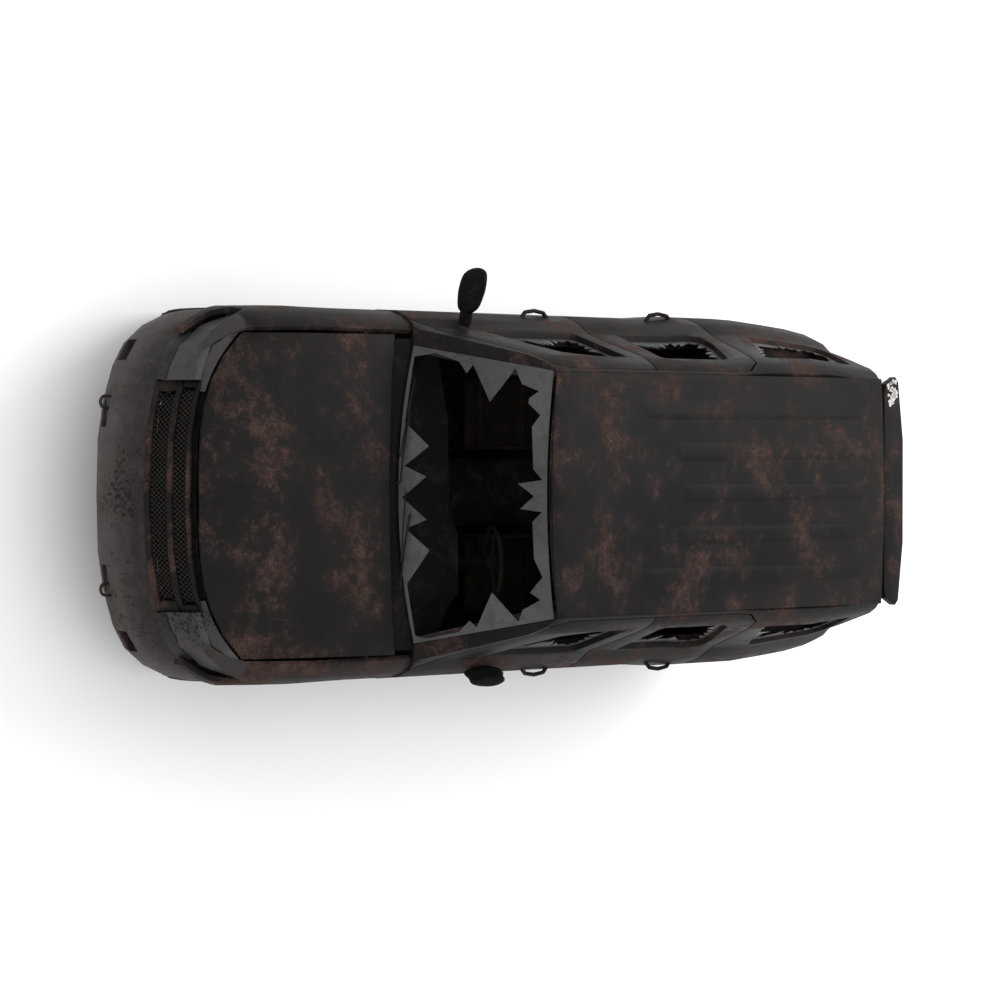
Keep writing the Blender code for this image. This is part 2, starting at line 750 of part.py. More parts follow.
def mesh_bar(low_x, high_x, slope, low, high):
    """One slanting bar of the grille mesh, from edge to edge of its opening."""
    start_z = low - 0.01 if slope > 0 else high + 0.01
    end_z = high + 0.01 if slope > 0 else low - 0.01
    ends = []
    for x, z in ((low_x, start_z), (high_x, end_z)):
        y = between(NOSE_PLAN, abs(x)) + between(GRILLE_FACE, z) + GRILLE_WALL / 2
        ends.append((x, y + 0.0017 * slope, z))
    return rod(ends[0], ends[1], MESH_WIRE, 4)


# Headlamp seen from the side, as (Y, Z)
LAMP_OUTLINE = ((-2.52, 0.840), (-2.14, 0.905), (-2.00, 0.998), (-2.06, 1.034), (-2.52, 1.041))


def lamp_solid(near, far, gap):
    """Wrap-round headlamp of the left side, its face on the nose's curve."""
    corner = [k for k, (x, _) in enumerate(NOSE_PLAN) if x > GRILLE_HALF]
    band = nose_band(LAMP_FACE, near, far, corner)
    outline = [(y, z) for y, z in grown(LAMP_OUTLINE, gap)]
    return settled(fuse(band, "INTERSECT", [slab(outline, "X", GRILLE_HALF + SEAT, 1.3)]))


def hood_point(u, v):
    """A point of the hood's skin: u across from 0 to 1, v from the front to the rear."""
    across = 2 * u - 1
    front = HOOD_FRONT_Y + HOOD_FRONT_BOW * abs(across) ** 3.5
    rear = HOOD_REAR_Y + HOOD_REAR_BOW * (1 - across * across)
    y = front + (rear - front) * v
    half = HOOD_HALF - 0.006 * (1 - v)
    edge = HOOD_FRONT_Z + HOOD_RISE * (1 - (1 - v) ** 1.6)
    crown = HOOD_CROWN * (1 - across * across) * (0.35 + 0.65 * v)
    dome = HOOD_DOME if abs(across) <= 0.56 else 0.0
    return Vector((half * across, y, edge + crown + dome * min(1.0, v * 4)))


def hood():
    return sheet(13, 7, hood_point, HOOD_WALL)


def roof():
    """Roof skin, thin at its side seams and thicker along the middle."""
    rings = []
    shares = (-1.0, -0.93, -0.7, -0.35, 0.0, 0.35, 0.7, 0.93, 1.0)
    stations = (
        # Y at the edge, bow at the centre, height at the edge, crown
        (ROOF_FRONT_Y, -0.075, ROOF_SEAM_Z + 0.0015, 0.038),
        (ROOF_FRONT_Y + 0.12, -0.05, ROOF_EDGE_Z, ROOF_CROWN),
        (0.40, 0.0, ROOF_EDGE_Z + 0.004, ROOF_CROWN),
        (1.30, 0.0, ROOF_EDGE_Z + 0.003, ROOF_CROWN),
        (ROOF_REAR_Y, -0.02, ROOF_EDGE_Z - 0.003, ROOF_CROWN - 0.006),
    )
    under = ROOF_SEAM_Z + SEAT
    for y, bow, edge, crown in stations:
        top = []
        low = []
        for share in shares:
            x = ROOF_HALF * share
            rise = 1 - share * share
            place = y + bow * rise
            top.append((x, place, edge + crown * rise))
            low.append((x, place, under + (edge + crown - under - 0.028) * rise))
        rings.append(top + list(reversed(low)))
    return loft(rings)


def screen_point(u, v):
    """A point of the windscreen: u from -1 to 1 across, v from 0 to 1 upwards."""
    half = SCREEN_BASE[0] + (SCREEN_TOP[0] - SCREEN_BASE[0]) * v
    bow = SCREEN_BOW_BASE + (SCREEN_BOW_TOP - SCREEN_BOW_BASE) * v
    y = SCREEN_BASE[1] + (SCREEN_TOP[1] - SCREEN_BASE[1]) * v - bow * (1 - u * u)
    z = SCREEN_BASE[2] + (SCREEN_TOP[2] - SCREEN_BASE[2]) * v
    z += SCREEN_CROWN_TOP * (1 - u * u) * v
    return Vector((half * u, y, z))


# Edge of the hole in the windscreen, as (u, v)
SCREEN_HOLE = (
    (-0.490, 0.020), (-0.336, 0.196), (-0.195, 0.036), (-0.126, 0.188), (0.017, 0.025),
    (0.173, 0.188), (0.229, 0.043), (0.384, 0.196), (0.600, 0.020), (0.950, 0.020),
    (0.982, 0.090), (0.975, 0.330), (0.909, 0.413), (0.965, 0.457), (0.726, 0.594),
    (0.975, 0.751), (0.891, 0.790), (0.834, 0.920), (0.765, 0.855), (0.655, 0.949),
    (0.505, 0.900), (0.213, 0.900), (0.138, 0.965), (0.109, 0.819), (0.011, 0.913),
    (-0.086, 0.804), (-0.119, 0.967), (-0.201, 0.906), (-0.534, 0.884), (-0.630, 0.935),
    (-0.712, 0.848), (-0.750, 0.848), (-0.818, 0.913), (-0.854, 0.790), (-0.964, 0.732),
    (-0.689, 0.583), (-0.940, 0.435), (-0.872, 0.400), (-0.947, 0.333), (-0.975, 0.160),
    (-0.930, 0.020),
)
REAR_GLASS_HOLE = (
    (-0.86, 0.30), (-0.70, 0.14), (-0.52, 0.26), (-0.36, 0.12), (-0.20, 0.30), (-0.06, 0.22),
    (0.04, 0.48), (-0.10, 0.62), (-0.02, 0.80), (-0.30, 0.74), (-0.46, 0.88),
    (-0.62, 0.76), (-0.80, 0.84),
)


def punched(surface, hole, columns, rows):
    """A thin curved pane with a ragged hole."""
    pane = sheet(columns, rows, lambda u, v: surface(2 * u - 1, v), GLASS)
    rings = []
    for side in (-0.08, 0.08):
        ring = []
        for u, v in hole:
            along = surface(u + 0.01, v) - surface(u - 0.01, v)
            up = surface(u, v + 0.01) - surface(u, v - 0.01)
            ring.append(surface(u, v) + along.cross(up).normalized() * side)
        rings.append(ring)
    return settled(fuse(pane, "DIFFERENCE", [loft(rings)]))


def cowl():
    """Scuttle below the windscreen, the firewall and the side stays under it."""
    top = []
    for k in range(9):
        u = k / 4 - 1
        base = screen_point(u, 0.0)
        rear = HOOD_REAR_Y + HOOD_REAR_BOW * (1 - u * u) + LID_GAP
        top.append((base, rear))
    rings = []
    for base, rear in top:
        x = base.x * 1.045
        front = rear + 0.004
        back = min(base.y + 0.030, SCREEN_BASE[1] - SEAT)
        height = base.z - 0.012
        rings.append([
            (x, front, height - 0.012), (x, back, height), (x, back, height - 0.050),
            (x, front, height - 0.050),
        ])
    tray = loft(rings)
    wall = block((-0.80, -1.035, FLOOR_Z + FLOOR_WALL + 0.002), (0.80, SCREEN_BASE[1] - SEAT, 1.19))
    tunnel = block((-0.235, -1.2, 0.45), (0.235, -0.9, 0.745))
    fuse(wall, "DIFFERENCE", [tunnel])
    return settled(fuse(settled(wall), "UNION", [tray]))


GATE_RING = (
    # height, distance back at the centre, half width, bow, wall
    (0.700, 2.470, 0.800, 0.085, 0.055), (0.900, 2.478, 0.820, 0.085, 0.055),
    (1.080, 2.462, 0.815, 0.085, 0.055), (1.225, 2.425, 0.790, 0.085, 0.050),
    (1.500, 2.330, 0.700, 0.085, 0.045), (1.725, 2.234, 0.622, 0.075, 0.040),
    (1.802, 2.195, 0.580, 0.062, 0.032),
)
GATE_SHARES = (-1.0, -0.7, -0.35, 0.0, 0.35, 0.7, 1.0)


def gate_y(x, z):
    """How far back the liftgate's skin lies at a place."""
    half = between(GATE_RING, z, 2)
    return between(GATE_RING, z, 1) - between(GATE_RING, z, 3) * (x / half) ** 2


def gate_point(u, v):
    """A point of the liftgate's skin: u from -1 to 1 across, v from 0 to 1 upwards."""
    z = GATE_RING[0][0] + (GATE_RING[-1][0] - GATE_RING[0][0]) * v
    x = between(GATE_RING, z, 2) * u
    return Vector((x, gate_y(x, z), z))


def gate_space():
    """The room that the liftgate needs between the body's sides."""
    rings = []
    rows = [(GATE_RING[0][0] - 0.3, *GATE_RING[0][1:])] + list(GATE_RING)
    rows += [(GATE_RING[-1][0] + 0.1, *GATE_RING[-1][1:])]
    for z, y, half, bow, wall in rows:
        near = y - bow - wall - LID_GAP
        reach = half + LID_GAP
        rings.append([(-reach, near, z), (reach, near, z), (reach, 2.8, z), (-reach, 2.8, z)])
    return loft(rings)


def screen_space():
    """The rebate in the body that holds the windscreen's edge."""
    bm = bmesh.new()
    bmesh.ops.create_grid(bm, x_segments=12, y_segments=6, size=1.0)
    for vert in bm.verts:
        u = vert.co.x * 1.004
        v = (vert.co.y + 1) / 2 * 1.02 - 0.01
        along = screen_point(u + 0.01, v) - screen_point(u - 0.01, v)
        up = screen_point(u, v + 0.01) - screen_point(u, v - 0.01)
        out = along.cross(up).normalized()
        vert.co = screen_point(u, v) - out * (GLASS + SEAT)
    room = tool(bm)
    solid = room.modifiers.new("room", "SOLIDIFY")
    solid.thickness = 0.100
    solid.offset = 1.0
    return settled(room)


REAR_GLASS_ZONE = (0.46, 0.92)
REAR_GLASS_HALVES = (0.696, 0.556)
GLASS_SETBACK = 0.022
GLASS_EDGE = 0.0028


def liftgate():
    """Liftgate with its window opening and the spoiler over it."""
    rings = []
    for z, y, half, bow, wall in GATE_RING:
        ring = [(half * share, y - bow * share * share, z) for share in GATE_SHARES]
        ring += [
            (half * share * 0.985, y - bow * share * share - wall, z)
            for share in reversed(GATE_SHARES)
        ]
        rings.append(ring)
    panel = loft(rings)
    low = gate_point(0, REAR_GLASS_ZONE[0]).z
    high = gate_point(0, REAR_GLASS_ZONE[1]).z
    wide, narrow = REAR_GLASS_HALVES
    opening = [(-wide, low), (wide, low), (narrow, high), (-narrow, high)]
    plate_recess = slab(
        [(-0.36, 1.055), (-0.33, 1.03), (0.33, 1.03), (0.36, 1.055), (0.36, 1.085),
         (0.33, 1.11), (-0.33, 1.11), (-0.36, 1.085)], "Y", 2.445, 2.60,
    )
    fuse(panel, "DIFFERENCE", [slab(opening, "Y", 2.0, 2.7), plate_recess])
    panel = settled(panel)
    spoiler_plan = [
        (-0.585, 2.140), (0.585, 2.140), (0.625, 2.158), (0.668, 2.235), (0.640, 2.262),
        (0.300, 2.305), (-0.300, 2.305), (-0.640, 2.262), (-0.668, 2.235), (-0.625, 2.158),
    ]
    spoiler = slab(spoiler_plan, "Z", 1.794, 1.838)
    return settled(fuse(panel, "UNION", [spoiler]))


def rear_glass_point(u, v):
    """The rear window's pane, just inside its opening in the liftgate."""
    low, high = REAR_GLASS_ZONE
    wide, narrow = REAR_GLASS_HALVES
    bottom = gate_point(0, low).z + GLASS_EDGE
    top = gate_point(0, high).z - GLASS_EDGE
    z = bottom + (top - bottom) * v
    x = (wide - GLASS_EDGE + (narrow - wide) * v) * u
    return Vector((x, gate_y(x, z) - GLASS_SETBACK, z))


# Trim bar stations, as (X, low, high)
TRIM_BAR = (
    (-0.385, 0.905, 0.955), (-0.362, 0.880, 0.980), (-0.287, 0.880, 0.980),
    (-0.160, 0.880, 0.980), (-0.150, 0.900, 0.980), (0.000, 0.900, 0.980),
    (0.090, 0.900, 0.980), (0.100, 0.880, 0.980), (0.287, 0.880, 0.980),
    (0.362, 0.880, 0.980), (0.385, 0.905, 0.955),
)
TRIM_GAP = 0.0030


def trim_bar():
    """Lamp trim bar across the liftgate, notched at its lower edge."""
    rings = []
    for x, low, high in TRIM_BAR:
        near = [(x, gate_y(x, z) + TRIM_GAP, z) for z in (low, high)]
        far = [(x, gate_y(x, z) + TRIM_GAP + 0.018, z) for z in (high - 0.006, low + 0.006)]
        rings.append(near + far)
    return loft(rings)


REAR_BUMPER_PLAN = (
    (0.000, 2.565), (0.300, 2.558), (0.560, 2.530), (0.760, 2.470), (0.880, 2.390),
    (0.955, 2.260), (0.985, 2.080), (0.992, 1.850),
)
REAR_BUMPER_FACE = (
    (0.390, 0.090), (0.440, 0.030), (0.540, 0.000), (0.640, 0.004),
    (REAR_BUMPER_TOP_Z - SEAT, 0.030),
)


def rear_bumper():
    """Rear bumper wrapped forward to the wheel arches, with its hitch recess."""
    rings = []
    for k in full_width(REAR_BUMPER_PLAN):
        x, y = REAR_BUMPER_PLAN[abs(k)]
        hand = -1 if k < 0 else 1
        share = min(1.0, max(0.0, (x - 0.70) / 0.25))
        ring = []
        for depth, rows in ((0.0, REAR_BUMPER_FACE), (0.07, tuple(reversed(REAR_BUMPER_FACE)))):
            for z, setback in rows:
                pull = (setback + depth) * (1 - share)
                side = (setback * 0.6 + depth) * share
                ring.append((hand * (x - side), y - pull, z))
        rings.append(ring)
    band = loft(rings)
    shelf = slab(
        [(-0.86, 2.34), (0.86, 2.34), (0.86, 2.36), (0.62, 2.475), (0.10, 2.52),
         (-0.10, 2.52), (-0.62, 2.475), (-0.86, 2.36)],
        "Z", REAR_RAIL_TOP + SEAT, 0.640,
    )
    fuse(band, "UNION", [shelf])
    fuse(band, "DIFFERENCE", [
        block((-0.20, 2.525, 0.470), (0.20, 2.70, 0.590)),
        arch_cut(REAR_AXLE_Y, ARCH_RADIUS, 0.6, 1.2),
        arch_cut(REAR_AXLE_Y, ARCH_RADIUS, -0.6, -1.2),
    ])
    return settled(band)


def ladder_frame():
    """Two side rails with cross tubes, and the spring and arm brackets on them."""
    upper = [(y, z + RAIL_HALF_HEIGHT) for y, z in RAIL_LINE]
    lower = [(y, z - RAIL_HALF_HEIGHT) for y, z in reversed(RAIL_LINE)]
    rails = [
        slab(upper + lower, "X", side * RAIL_X - RAIL_HALF_WIDTH, side * RAIL_X + RAIL_HALF_WIDTH)
        for side in (1, -1)
    ]
    base = rails[0]
    fuse(base, "UNION", [rails[1]])
    for y, z, radius in CROSSINGS:
        fuse(base, "UNION", [rod((-RAIL_X, y, z), (RAIL_X, y, z), radius, 12)])
    engine_beam = slab(
        [(-RAIL_X, 0.52), (-0.26, 0.44), (0.26, 0.44), (RAIL_X, 0.52), (RAIL_X, 0.47),
         (0.28, 0.385), (-0.28, 0.385), (-RAIL_X, 0.47)], "Y", -1.80, -1.66,
    )
    fuse(base, "UNION", [engine_beam])
    return settled(base)


def frame_section(whole, low_y, high_y):
    """The length of the frame between two stations."""
    reach = RAIL_X + 2 * RAIL_HALF_WIDTH
    top = REAR_RAIL_TOP + RAIL_HALF_HEIGHT
    length = block((-reach, low_y, 0.0), (reach, high_y, top))
    return settled(fuse(length, "INTERSECT", [whole]))


def lower_arm():
    """V-shaped lower arm of the left front wheel, with its ball joint."""
    hub = (KINGPIN_X, FRONT_AXLE_Y)
    arm = rod((*hub, ARM_BALL_Z - 0.024), (*hub, KNUCKLE_LOW - RUNNING), 0.030, 12)
    for side in (1, -1):
        y = FRONT_AXLE_Y + side * ARM_SPREAD
        end = (hub[0] + 0.004, hub[1] + side * 0.006, ARM_BALL_Z + side * 0.0012)
        fuse(arm, "UNION", [
            rod((ARM_PIVOT_X, y, ARM_PIVOT_Z), end, 0.021, 8),
            rod((ARM_PIVOT_X, y - 0.035, ARM_PIVOT_Z), (ARM_PIVOT_X, y + 0.035, ARM_PIVOT_Z),
                ARM_BUSH, 12),
        ])
    return settled(arm)


def arm_bracket(y):
    """Hanger that carries one inner pivot of a lower arm from the rail."""
    bottom = ARM_PIVOT_Z + ARM_BUSH + SEAT
    return block((ARM_PIVOT_X - 0.030, y - 0.040, bottom), (ARM_PIVOT_X + 0.030, y + 0.040, 0.500))


def knuckle():
    """Front knuckle, hub and brake disc of the left wheel."""
    hub_x = FRONT_TRACK_HALF + HUB_FACE
    centre = (FRONT_AXLE_Y, TYRE_RADIUS)
    upright = slab(
        [(FRONT_AXLE_Y - 0.028, KNUCKLE_LOW), (FRONT_AXLE_Y + 0.028, KNUCKLE_LOW),
         (FRONT_AXLE_Y + 0.065, 0.400), (FRONT_AXLE_Y + 0.035, 0.545),
         (FRONT_AXLE_Y - 0.035, 0.545), (FRONT_AXLE_Y - 0.065, 0.400)],
        "X", KINGPIN_X - 0.025, KINGPIN_X + 0.025,
    )
    pieces = [
        rod((KINGPIN_X - 0.040, *centre), (hub_x - RUNNING, *centre), 0.066, HUB_STEPS),
        rod((FRONT_TRACK_HALF - 0.030, *centre), (FRONT_TRACK_HALF - 0.004, *centre), 0.162, 16),
        rod((hub_x - 0.010, *centre), (hub_x + 0.030, *centre), SPINDLE, HUB_STEPS),
    ]
    return settled(fuse(upright, "UNION", pieces))


def tyre(track_half, axle_y):
    """Tyre of a left wheel: tread, shoulders, side walls and beads."""
    half = TYRE_HALF_WIDTH
    rim_seat = BEAD_RADIUS + SEAT
    right = (
        (TYRE_RADIUS, 0.0), (TYRE_RADIUS - 0.003, 0.078), (TYRE_RADIUS - 0.022, 0.112),
        (TYRE_RADIUS - 0.080, half), (TYRE_RADIUS - 0.140, half - 0.008),
        (BEAD_RADIUS + 0.014, 0.100), (rim_seat, 0.0950),
    )
    profile = list(right)
    profile += [(radius, -x) for radius, x in reversed(right[1:])]
    return turned(profile, (track_half, axle_y, TYRE_RADIUS))


def rim(track_half, axle_y):
    """Rim of a left wheel: barrel with lips, pierced disc and hub bore."""
    outer = BEAD_RADIUS
    inner = outer - RIM_WALL
    profile = [
        (outer, -0.096), (outer, 0.096), (outer + 0.012, 0.105), (inner + 0.004, 0.110),
        (inner - 0.004, 0.072), (0.075, HUB_FACE + 0.026), (HUB_BORE, HUB_FACE + 0.028),
        (HUB_BORE, HUB_FACE), (inner - 0.012, 0.046), (inner, -0.108), (outer + 0.012, -0.105),
    ]
    solid = turned(profile, (track_half, axle_y, TYRE_RADIUS))
    cuts = []
    for k in range(RIM_HOLES):
        angle = 2 * math.pi * (k + 0.5) / RIM_HOLES
        y = axle_y + RIM_HOLE_CIRCLE * math.cos(angle)
        z = TYRE_RADIUS + RIM_HOLE_CIRCLE * math.sin(angle)
        cuts.append(rod((track_half - 0.02, y, z), (track_half + 0.16, y, z), RIM_HOLE_RADIUS, 8))
    return settled(fuse(solid, "DIFFERENCE", cuts))


def rear_axle():
    """Live rear axle: tubes, differential, drums, trailing arms and springs' seats."""
    centre = (REAR_AXLE_Y, TYRE_RADIUS)
    hub_x = REAR_TRACK_HALF + HUB_FACE
    tube_end = REAR_TRACK_HALF - 0.116
    base = rod((-tube_end, *centre), (tube_end, *centre), 0.042, 16)
    pieces = [
        ball((0.0, *centre), 0.150, 12),
        rod((0.0, REAR_AXLE_Y - 0.05, TYRE_RADIUS), (0.0, 1.100, 0.405), 0.075, 12, 0.045),
    ]
    for side in (1, -1):
        pieces += [
            rod((side * 0.15, *centre), (side * 0.30, *centre), 0.070, 16, 0.045),
            rod((side * (tube_end - 0.020), *centre), (side * (REAR_TRACK_HALF - 0.010), *centre),
                0.160, 16),
            rod((side * (REAR_TRACK_HALF - 0.056), *centre), (side * (hub_x - RUNNING), *centre),
                0.066, HUB_STEPS),
            rod((side * (hub_x - 0.01), *centre), (side * (hub_x + 0.030), *centre),
                SPINDLE, HUB_STEPS),
            rod((side * 0.60, REAR_AXLE_Y, 0.345), (side * 0.555, 0.720, 0.345), 0.026, 8),
            block((side * 0.60 - 0.03, REAR_AXLE_Y - 0.045, 0.320),
                  (side * 0.60 + 0.03, REAR_AXLE_Y + 0.045, 0.400)),
        ]
    return settled(fuse(base, "UNION", pieces))


def floor_point(u, v):
    """A point of the floor's upper skin at one of its columns and rows."""
    x = FLOOR_COLUMNS[round(u * (len(FLOOR_COLUMNS) - 1))]
    y = FLOOR_ROWS[round(v * (len(FLOOR_ROWS) - 1))]
    kick = min(1.0, max(0.0, (y - 0.66) / 0.20))
    if abs(x) == FLOOR_HALF and y > 0.80:
        x *= 1.027
    if y > 2.20:
        x *= 0.92
    z = FLOOR_Z + FLOOR_WALL + (REAR_FLOOR_Z - FLOOR_Z) * kick
    if abs(x) < TUNNEL_HALF and y < 0.60:
        z += TUNNEL_RISE
    reach = abs(y - REAR_AXLE_Y)
    if abs(x) > WHEELHOUSE_X and reach < WHEELHOUSE_RADIUS:
        z = max(z, ARCH_Z + math.sqrt(WHEELHOUSE_RADIUS ** 2 - reach ** 2))
    return Vector((x, y, z))


def floor_pan():
    """Floor with its tunnel, its step over the axle and the rear wheelhouses."""
    return sheet(len(FLOOR_COLUMNS) - 1, len(FLOOR_ROWS) - 1, floor_point, FLOOR_WALL)


def engine():
    """Engine block at its real place, with its sump and rocker covers."""
    base = block((-0.26, -2.000, 0.620), (0.26, -1.380, 0.900))
    pieces = [block((-0.16, -1.980, 0.4403), (0.16, -1.420, 0.640))]
    for side in (1, -1):
        cover = slab(
            [(side * 0.10, 0.86), (side * 0.30, 0.80), (side * 0.36, 0.93), (side * 0.16, 1.00)],
            "Y", -1.97, -1.42,
        )
        pieces.append(cover)
    return settled(fuse(base, "UNION", pieces))


def gearbox():
    """Bell housing and gearbox behind the engine."""
    stations = (
        # Y, half width, low, high
        (-1.380 + SEAT, 0.240, 0.450, 0.700), (-1.180, 0.170, 0.430, 0.650),
        (-0.500, 0.130, 0.420, 0.600), (-0.080, 0.110, 0.420, 0.570),
    )
    rings = []
    for y, half, low, high in stations:
        middle = (low + high) / 2
        rings.append([
            (half * 0.6, y, low), (half, y, middle - 0.04), (half, y, middle + 0.04),
            (half * 0.6, y, high), (-half * 0.6, y, high), (-half, y, middle + 0.04),
            (-half, y, middle - 0.04), (-half * 0.6, y, low),
        ])
    return loft(rings)


def propshaft():
    start = (0.0, -0.080 + SEAT, 0.480)
    end = (0.0, 1.100 - SEAT, 0.405)
    shaft = rod(start, end, 0.040, 12)
    keep = block((-0.2, start[1], 0.2), (0.2, end[1], 0.8))
    return settled(fuse(shaft, "INTERSECT", [keep]))


def exhaust():
    """Exhaust pipe over the axle, muffler and tail pipe on the right side."""
    front = tube([
        (-0.300, -1.250, 0.400), (-0.300, -0.950, 0.300), (-0.300, 0.760, 0.300),
        (-0.300, 0.960, 0.350), (-0.300, 1.180, 0.535), (-0.310, 1.400, 0.540),
        (-0.340, 1.520, 0.480), (-0.420, 1.600, MUFFLER_Z + 0.01),
    ], 0.030)
    barrel = rod((-0.400, 1.560, MUFFLER_Z), (-0.610, 2.020, MUFFLER_Z), 0.095, 20)
    y, z, radius = CROSSINGS[2]
    hanger = block((-0.312, y - 0.010, 0.310), (-0.288, y + 0.010, z - radius - SEAT))
    tail = tube([
        (-0.580, 1.960, MUFFLER_Z + 0.01), (-0.640, 2.080, 0.395), (-0.700, 2.200, 0.385),
        (-0.728, 2.290, 0.370),
    ], 0.036)
    return settled(fuse(front, "UNION", [barrel, tail, hanger]))


def fuel_tank():
    base = block((0.150, -0.300, 0.290), (0.385, 0.500, TANK_TOP_Z))
    bevel = base.modifiers.new("round", "BEVEL")
    bevel.width = 0.030
    bevel.segments = 2
    return settled(base)


def running_board():
    """Flat step of the left side with its tapered ends and stays."""
    outline = [
        (BOARD_INNER_X, BOARD_FRONT_Y + 0.03), (BOARD_INNER_X + 0.03, BOARD_FRONT_Y),
        (BOARD_INNER_X + 0.07, BOARD_FRONT_Y), (BOARD_OUTER_X - 0.02, BOARD_FRONT_Y + 0.10),
        (BOARD_OUTER_X, BOARD_FRONT_Y + 0.20), (BOARD_OUTER_X, BOARD_REAR_Y - 0.12),
        (BOARD_OUTER_X - 0.03, BOARD_REAR_Y), (BOARD_INNER_X, BOARD_REAR_Y),
    ]
    board = slab(outline, "Z", BOARD_Z - 0.018, BOARD_Z + 0.012)
    stays = []
    rail_side = RAIL_X + RAIL_HALF_WIDTH + SEAT
    for y in (-0.80, -0.10, 0.62):
        stays.append(block(
            (rail_side, y - 0.025, BOARD_Z - 0.010), (BOARD_INNER_X + 0.041, y + 0.025, BOARD_Z + 0.020)))
        stays.append(block((rail_side, y - 0.030, BOARD_Z), (rail_side + 0.030, y + 0.030, 0.460)))
    return settled(fuse(board, "UNION", stays))


def dashboard():
    """Gutted instrument panel under the windscreen."""
    stations = (
        # X, rear Y, top Z
        (-0.770, -0.700, 1.140), (-0.40, -0.650, 1.165), (0.10, -0.640, 1.165),
        (0.22, -0.610, 1.205), (0.54, -0.610, 1.205), (0.62, -0.650, 1.160),
        (0.770, -0.700, 1.140),
    )
    front = SCREEN_BASE[1]
    rings = []
    for x, rear, top in stations:
        rings.append([
            (x, front, top - 0.020), (x, rear - 0.05, top), (x, rear, top - 0.060),
            (x, rear - 0.02, 0.860), (x, front + 0.12, 0.820), (x, front, 0.900),
        ])
    return loft(rings)


def steering_wheel():
    """Bare steel rim, three spokes and boss, on its column."""
    centre = Vector(STEERING_WHEEL)
    steps = 20
    axis = Vector((0.0, math.cos(STEERING_TILT), math.sin(STEERING_TILT)))
    side = Vector((1.0, 0.0, 0.0))
    up = axis.cross(side)
    ring = [
        centre + (side * math.cos(a) + up * math.sin(a)) * STEERING_RADIUS
        for a in [2 * math.pi * k / steps for k in range(steps)]
    ]
    curve = bpy.data.curves.new("rim", "CURVE")
    curve.dimensions = "3D"
    curve.bevel_depth = 0.013
    curve.bevel_resolution = 1
    spline = curve.splines.new("POLY")
    spline.points.add(len(ring) - 1)
    for point, place in zip(spline.points, ring):
        point.co = (*place, 1.0)
    spline.use_cyclic_u = True
    obj = bpy.data.objects.new("rim", curve)
    TOOLS.objects.link(obj)
    wheel = settled(obj)
    pieces = [rod(centre - axis * 0.045, centre + axis * 0.012, 0.040, 12)]
    for angle in (90, 200, 340):
        a = math.radians(angle)
        spoke_end = centre + (side * math.cos(a) + up * math.sin(a)) * STEERING_RADIUS
        pieces.append(rod(centre - axis * 0.01, spoke_end, 0.009, 8))
    return settled(fuse(wheel, "UNION", pieces))


def steering_column():
    centre = Vector(STEERING_WHEEL)
    axis = Vector((0.0, math.cos(STEERING_TILT), math.sin(STEERING_TILT)))
    start = centre - axis * (0.045 + RUNNING)
    return rod(start - axis * COLUMN_LENGTH, start, 0.032, 12)


def seat_frame(x):
    """Burnt front seat: base box, tube frame of the back and head restraint."""
    y = 0.12
    floor_top = FLOOR_Z + FLOOR_WALL + 0.001
    base = block((x - 0.22, y - 0.26, floor_top + 0.16), (x + 0.22, y + 0.24, floor_top + 0.30))
    pieces = [
        block((x - 0.20, y - 0.22, floor_top), (x - 0.14, y + 0.20, floor_top + 0.18)),
        block((x + 0.14, y - 0.22, floor_top), (x + 0.20, y + 0.20, floor_top + 0.18)),
        slab([(y + 0.14, 0.80), (y + 0.24, 0.80), (y + 0.40, 1.32), (y + 0.34, 1.34),
              (y + 0.10, 0.86)], "X", x - 0.21, x + 0.21),
        slab([(y + 0.33, 1.30), (y + 0.39, 1.30), (y + 0.42, 1.50), (y + 0.35, 1.50)],
             "X", x - 0.13, x + 0.13),
    ]
    return settled(fuse(base, "UNION", pieces))


def rear_seat():
    y = 0.98
    top = REAR_FLOOR_Z + FLOOR_WALL + 0.001
    base = block((-0.62, y, top), (0.62, y + 0.42, top + 0.20))
    back = slab([(y + 0.36, top + 0.1), (y + 0.48, top + 0.1), (y + 0.60, 1.36),
                 (y + 0.52, 1.38)], "X", -0.62, 0.62)
    return settled(fuse(base, "UNION", [back]))


def door_mirror(whole):
    """Door mirror of the left side; a crushed one is folded against the door."""
    if whole:
        outline = [(1.045, 1.150), (1.090, 1.120), (1.200, 1.130), (1.236, 1.180),
                   (1.240, 1.340), (1.205, 1.385), (1.090, 1.375), (1.050, 1.330)]
        shell = slab(outline, "Y", -0.640, -0.555)
        arm = slab([(0.905, 1.175), (1.070, 1.180), (1.070, 1.240), (0.905, 1.250)],
                   "Y", -0.615, -0.570)
    else:
        outline = [(0.965, 1.140), (1.010, 1.105), (1.060, 1.130), (1.050, 1.210),
                   (1.075, 1.260), (1.030, 1.300), (0.975, 1.270), (0.985, 1.200)]
        shell = slab(outline, "Y", -0.520, -0.330)
        arm = slab([(0.905, 1.175), (1.010, 1.180), (1.010, 1.235), (0.905, 1.250)],
                   "Y", -0.600, -0.480)
    bevel = shell.modifiers.new("round", "BEVEL")
    bevel.width = 0.014
    bevel.segments = 2
    shell = settled(shell)
    solid = settled(fuse(shell, "UNION", [arm]))
    keep = side_band(-0.6, -SEAT * 2)
    return settled(fuse(solid, "INTERSECT", [keep]))


def radiator():
    """Radiator and its panel behind the grille."""
    bottom = RAIL_LINE[0][1] + RAIL_HALF_HEIGHT + SEAT
    return block((-0.43, -2.230, bottom), (0.43, -2.150, 1.010))


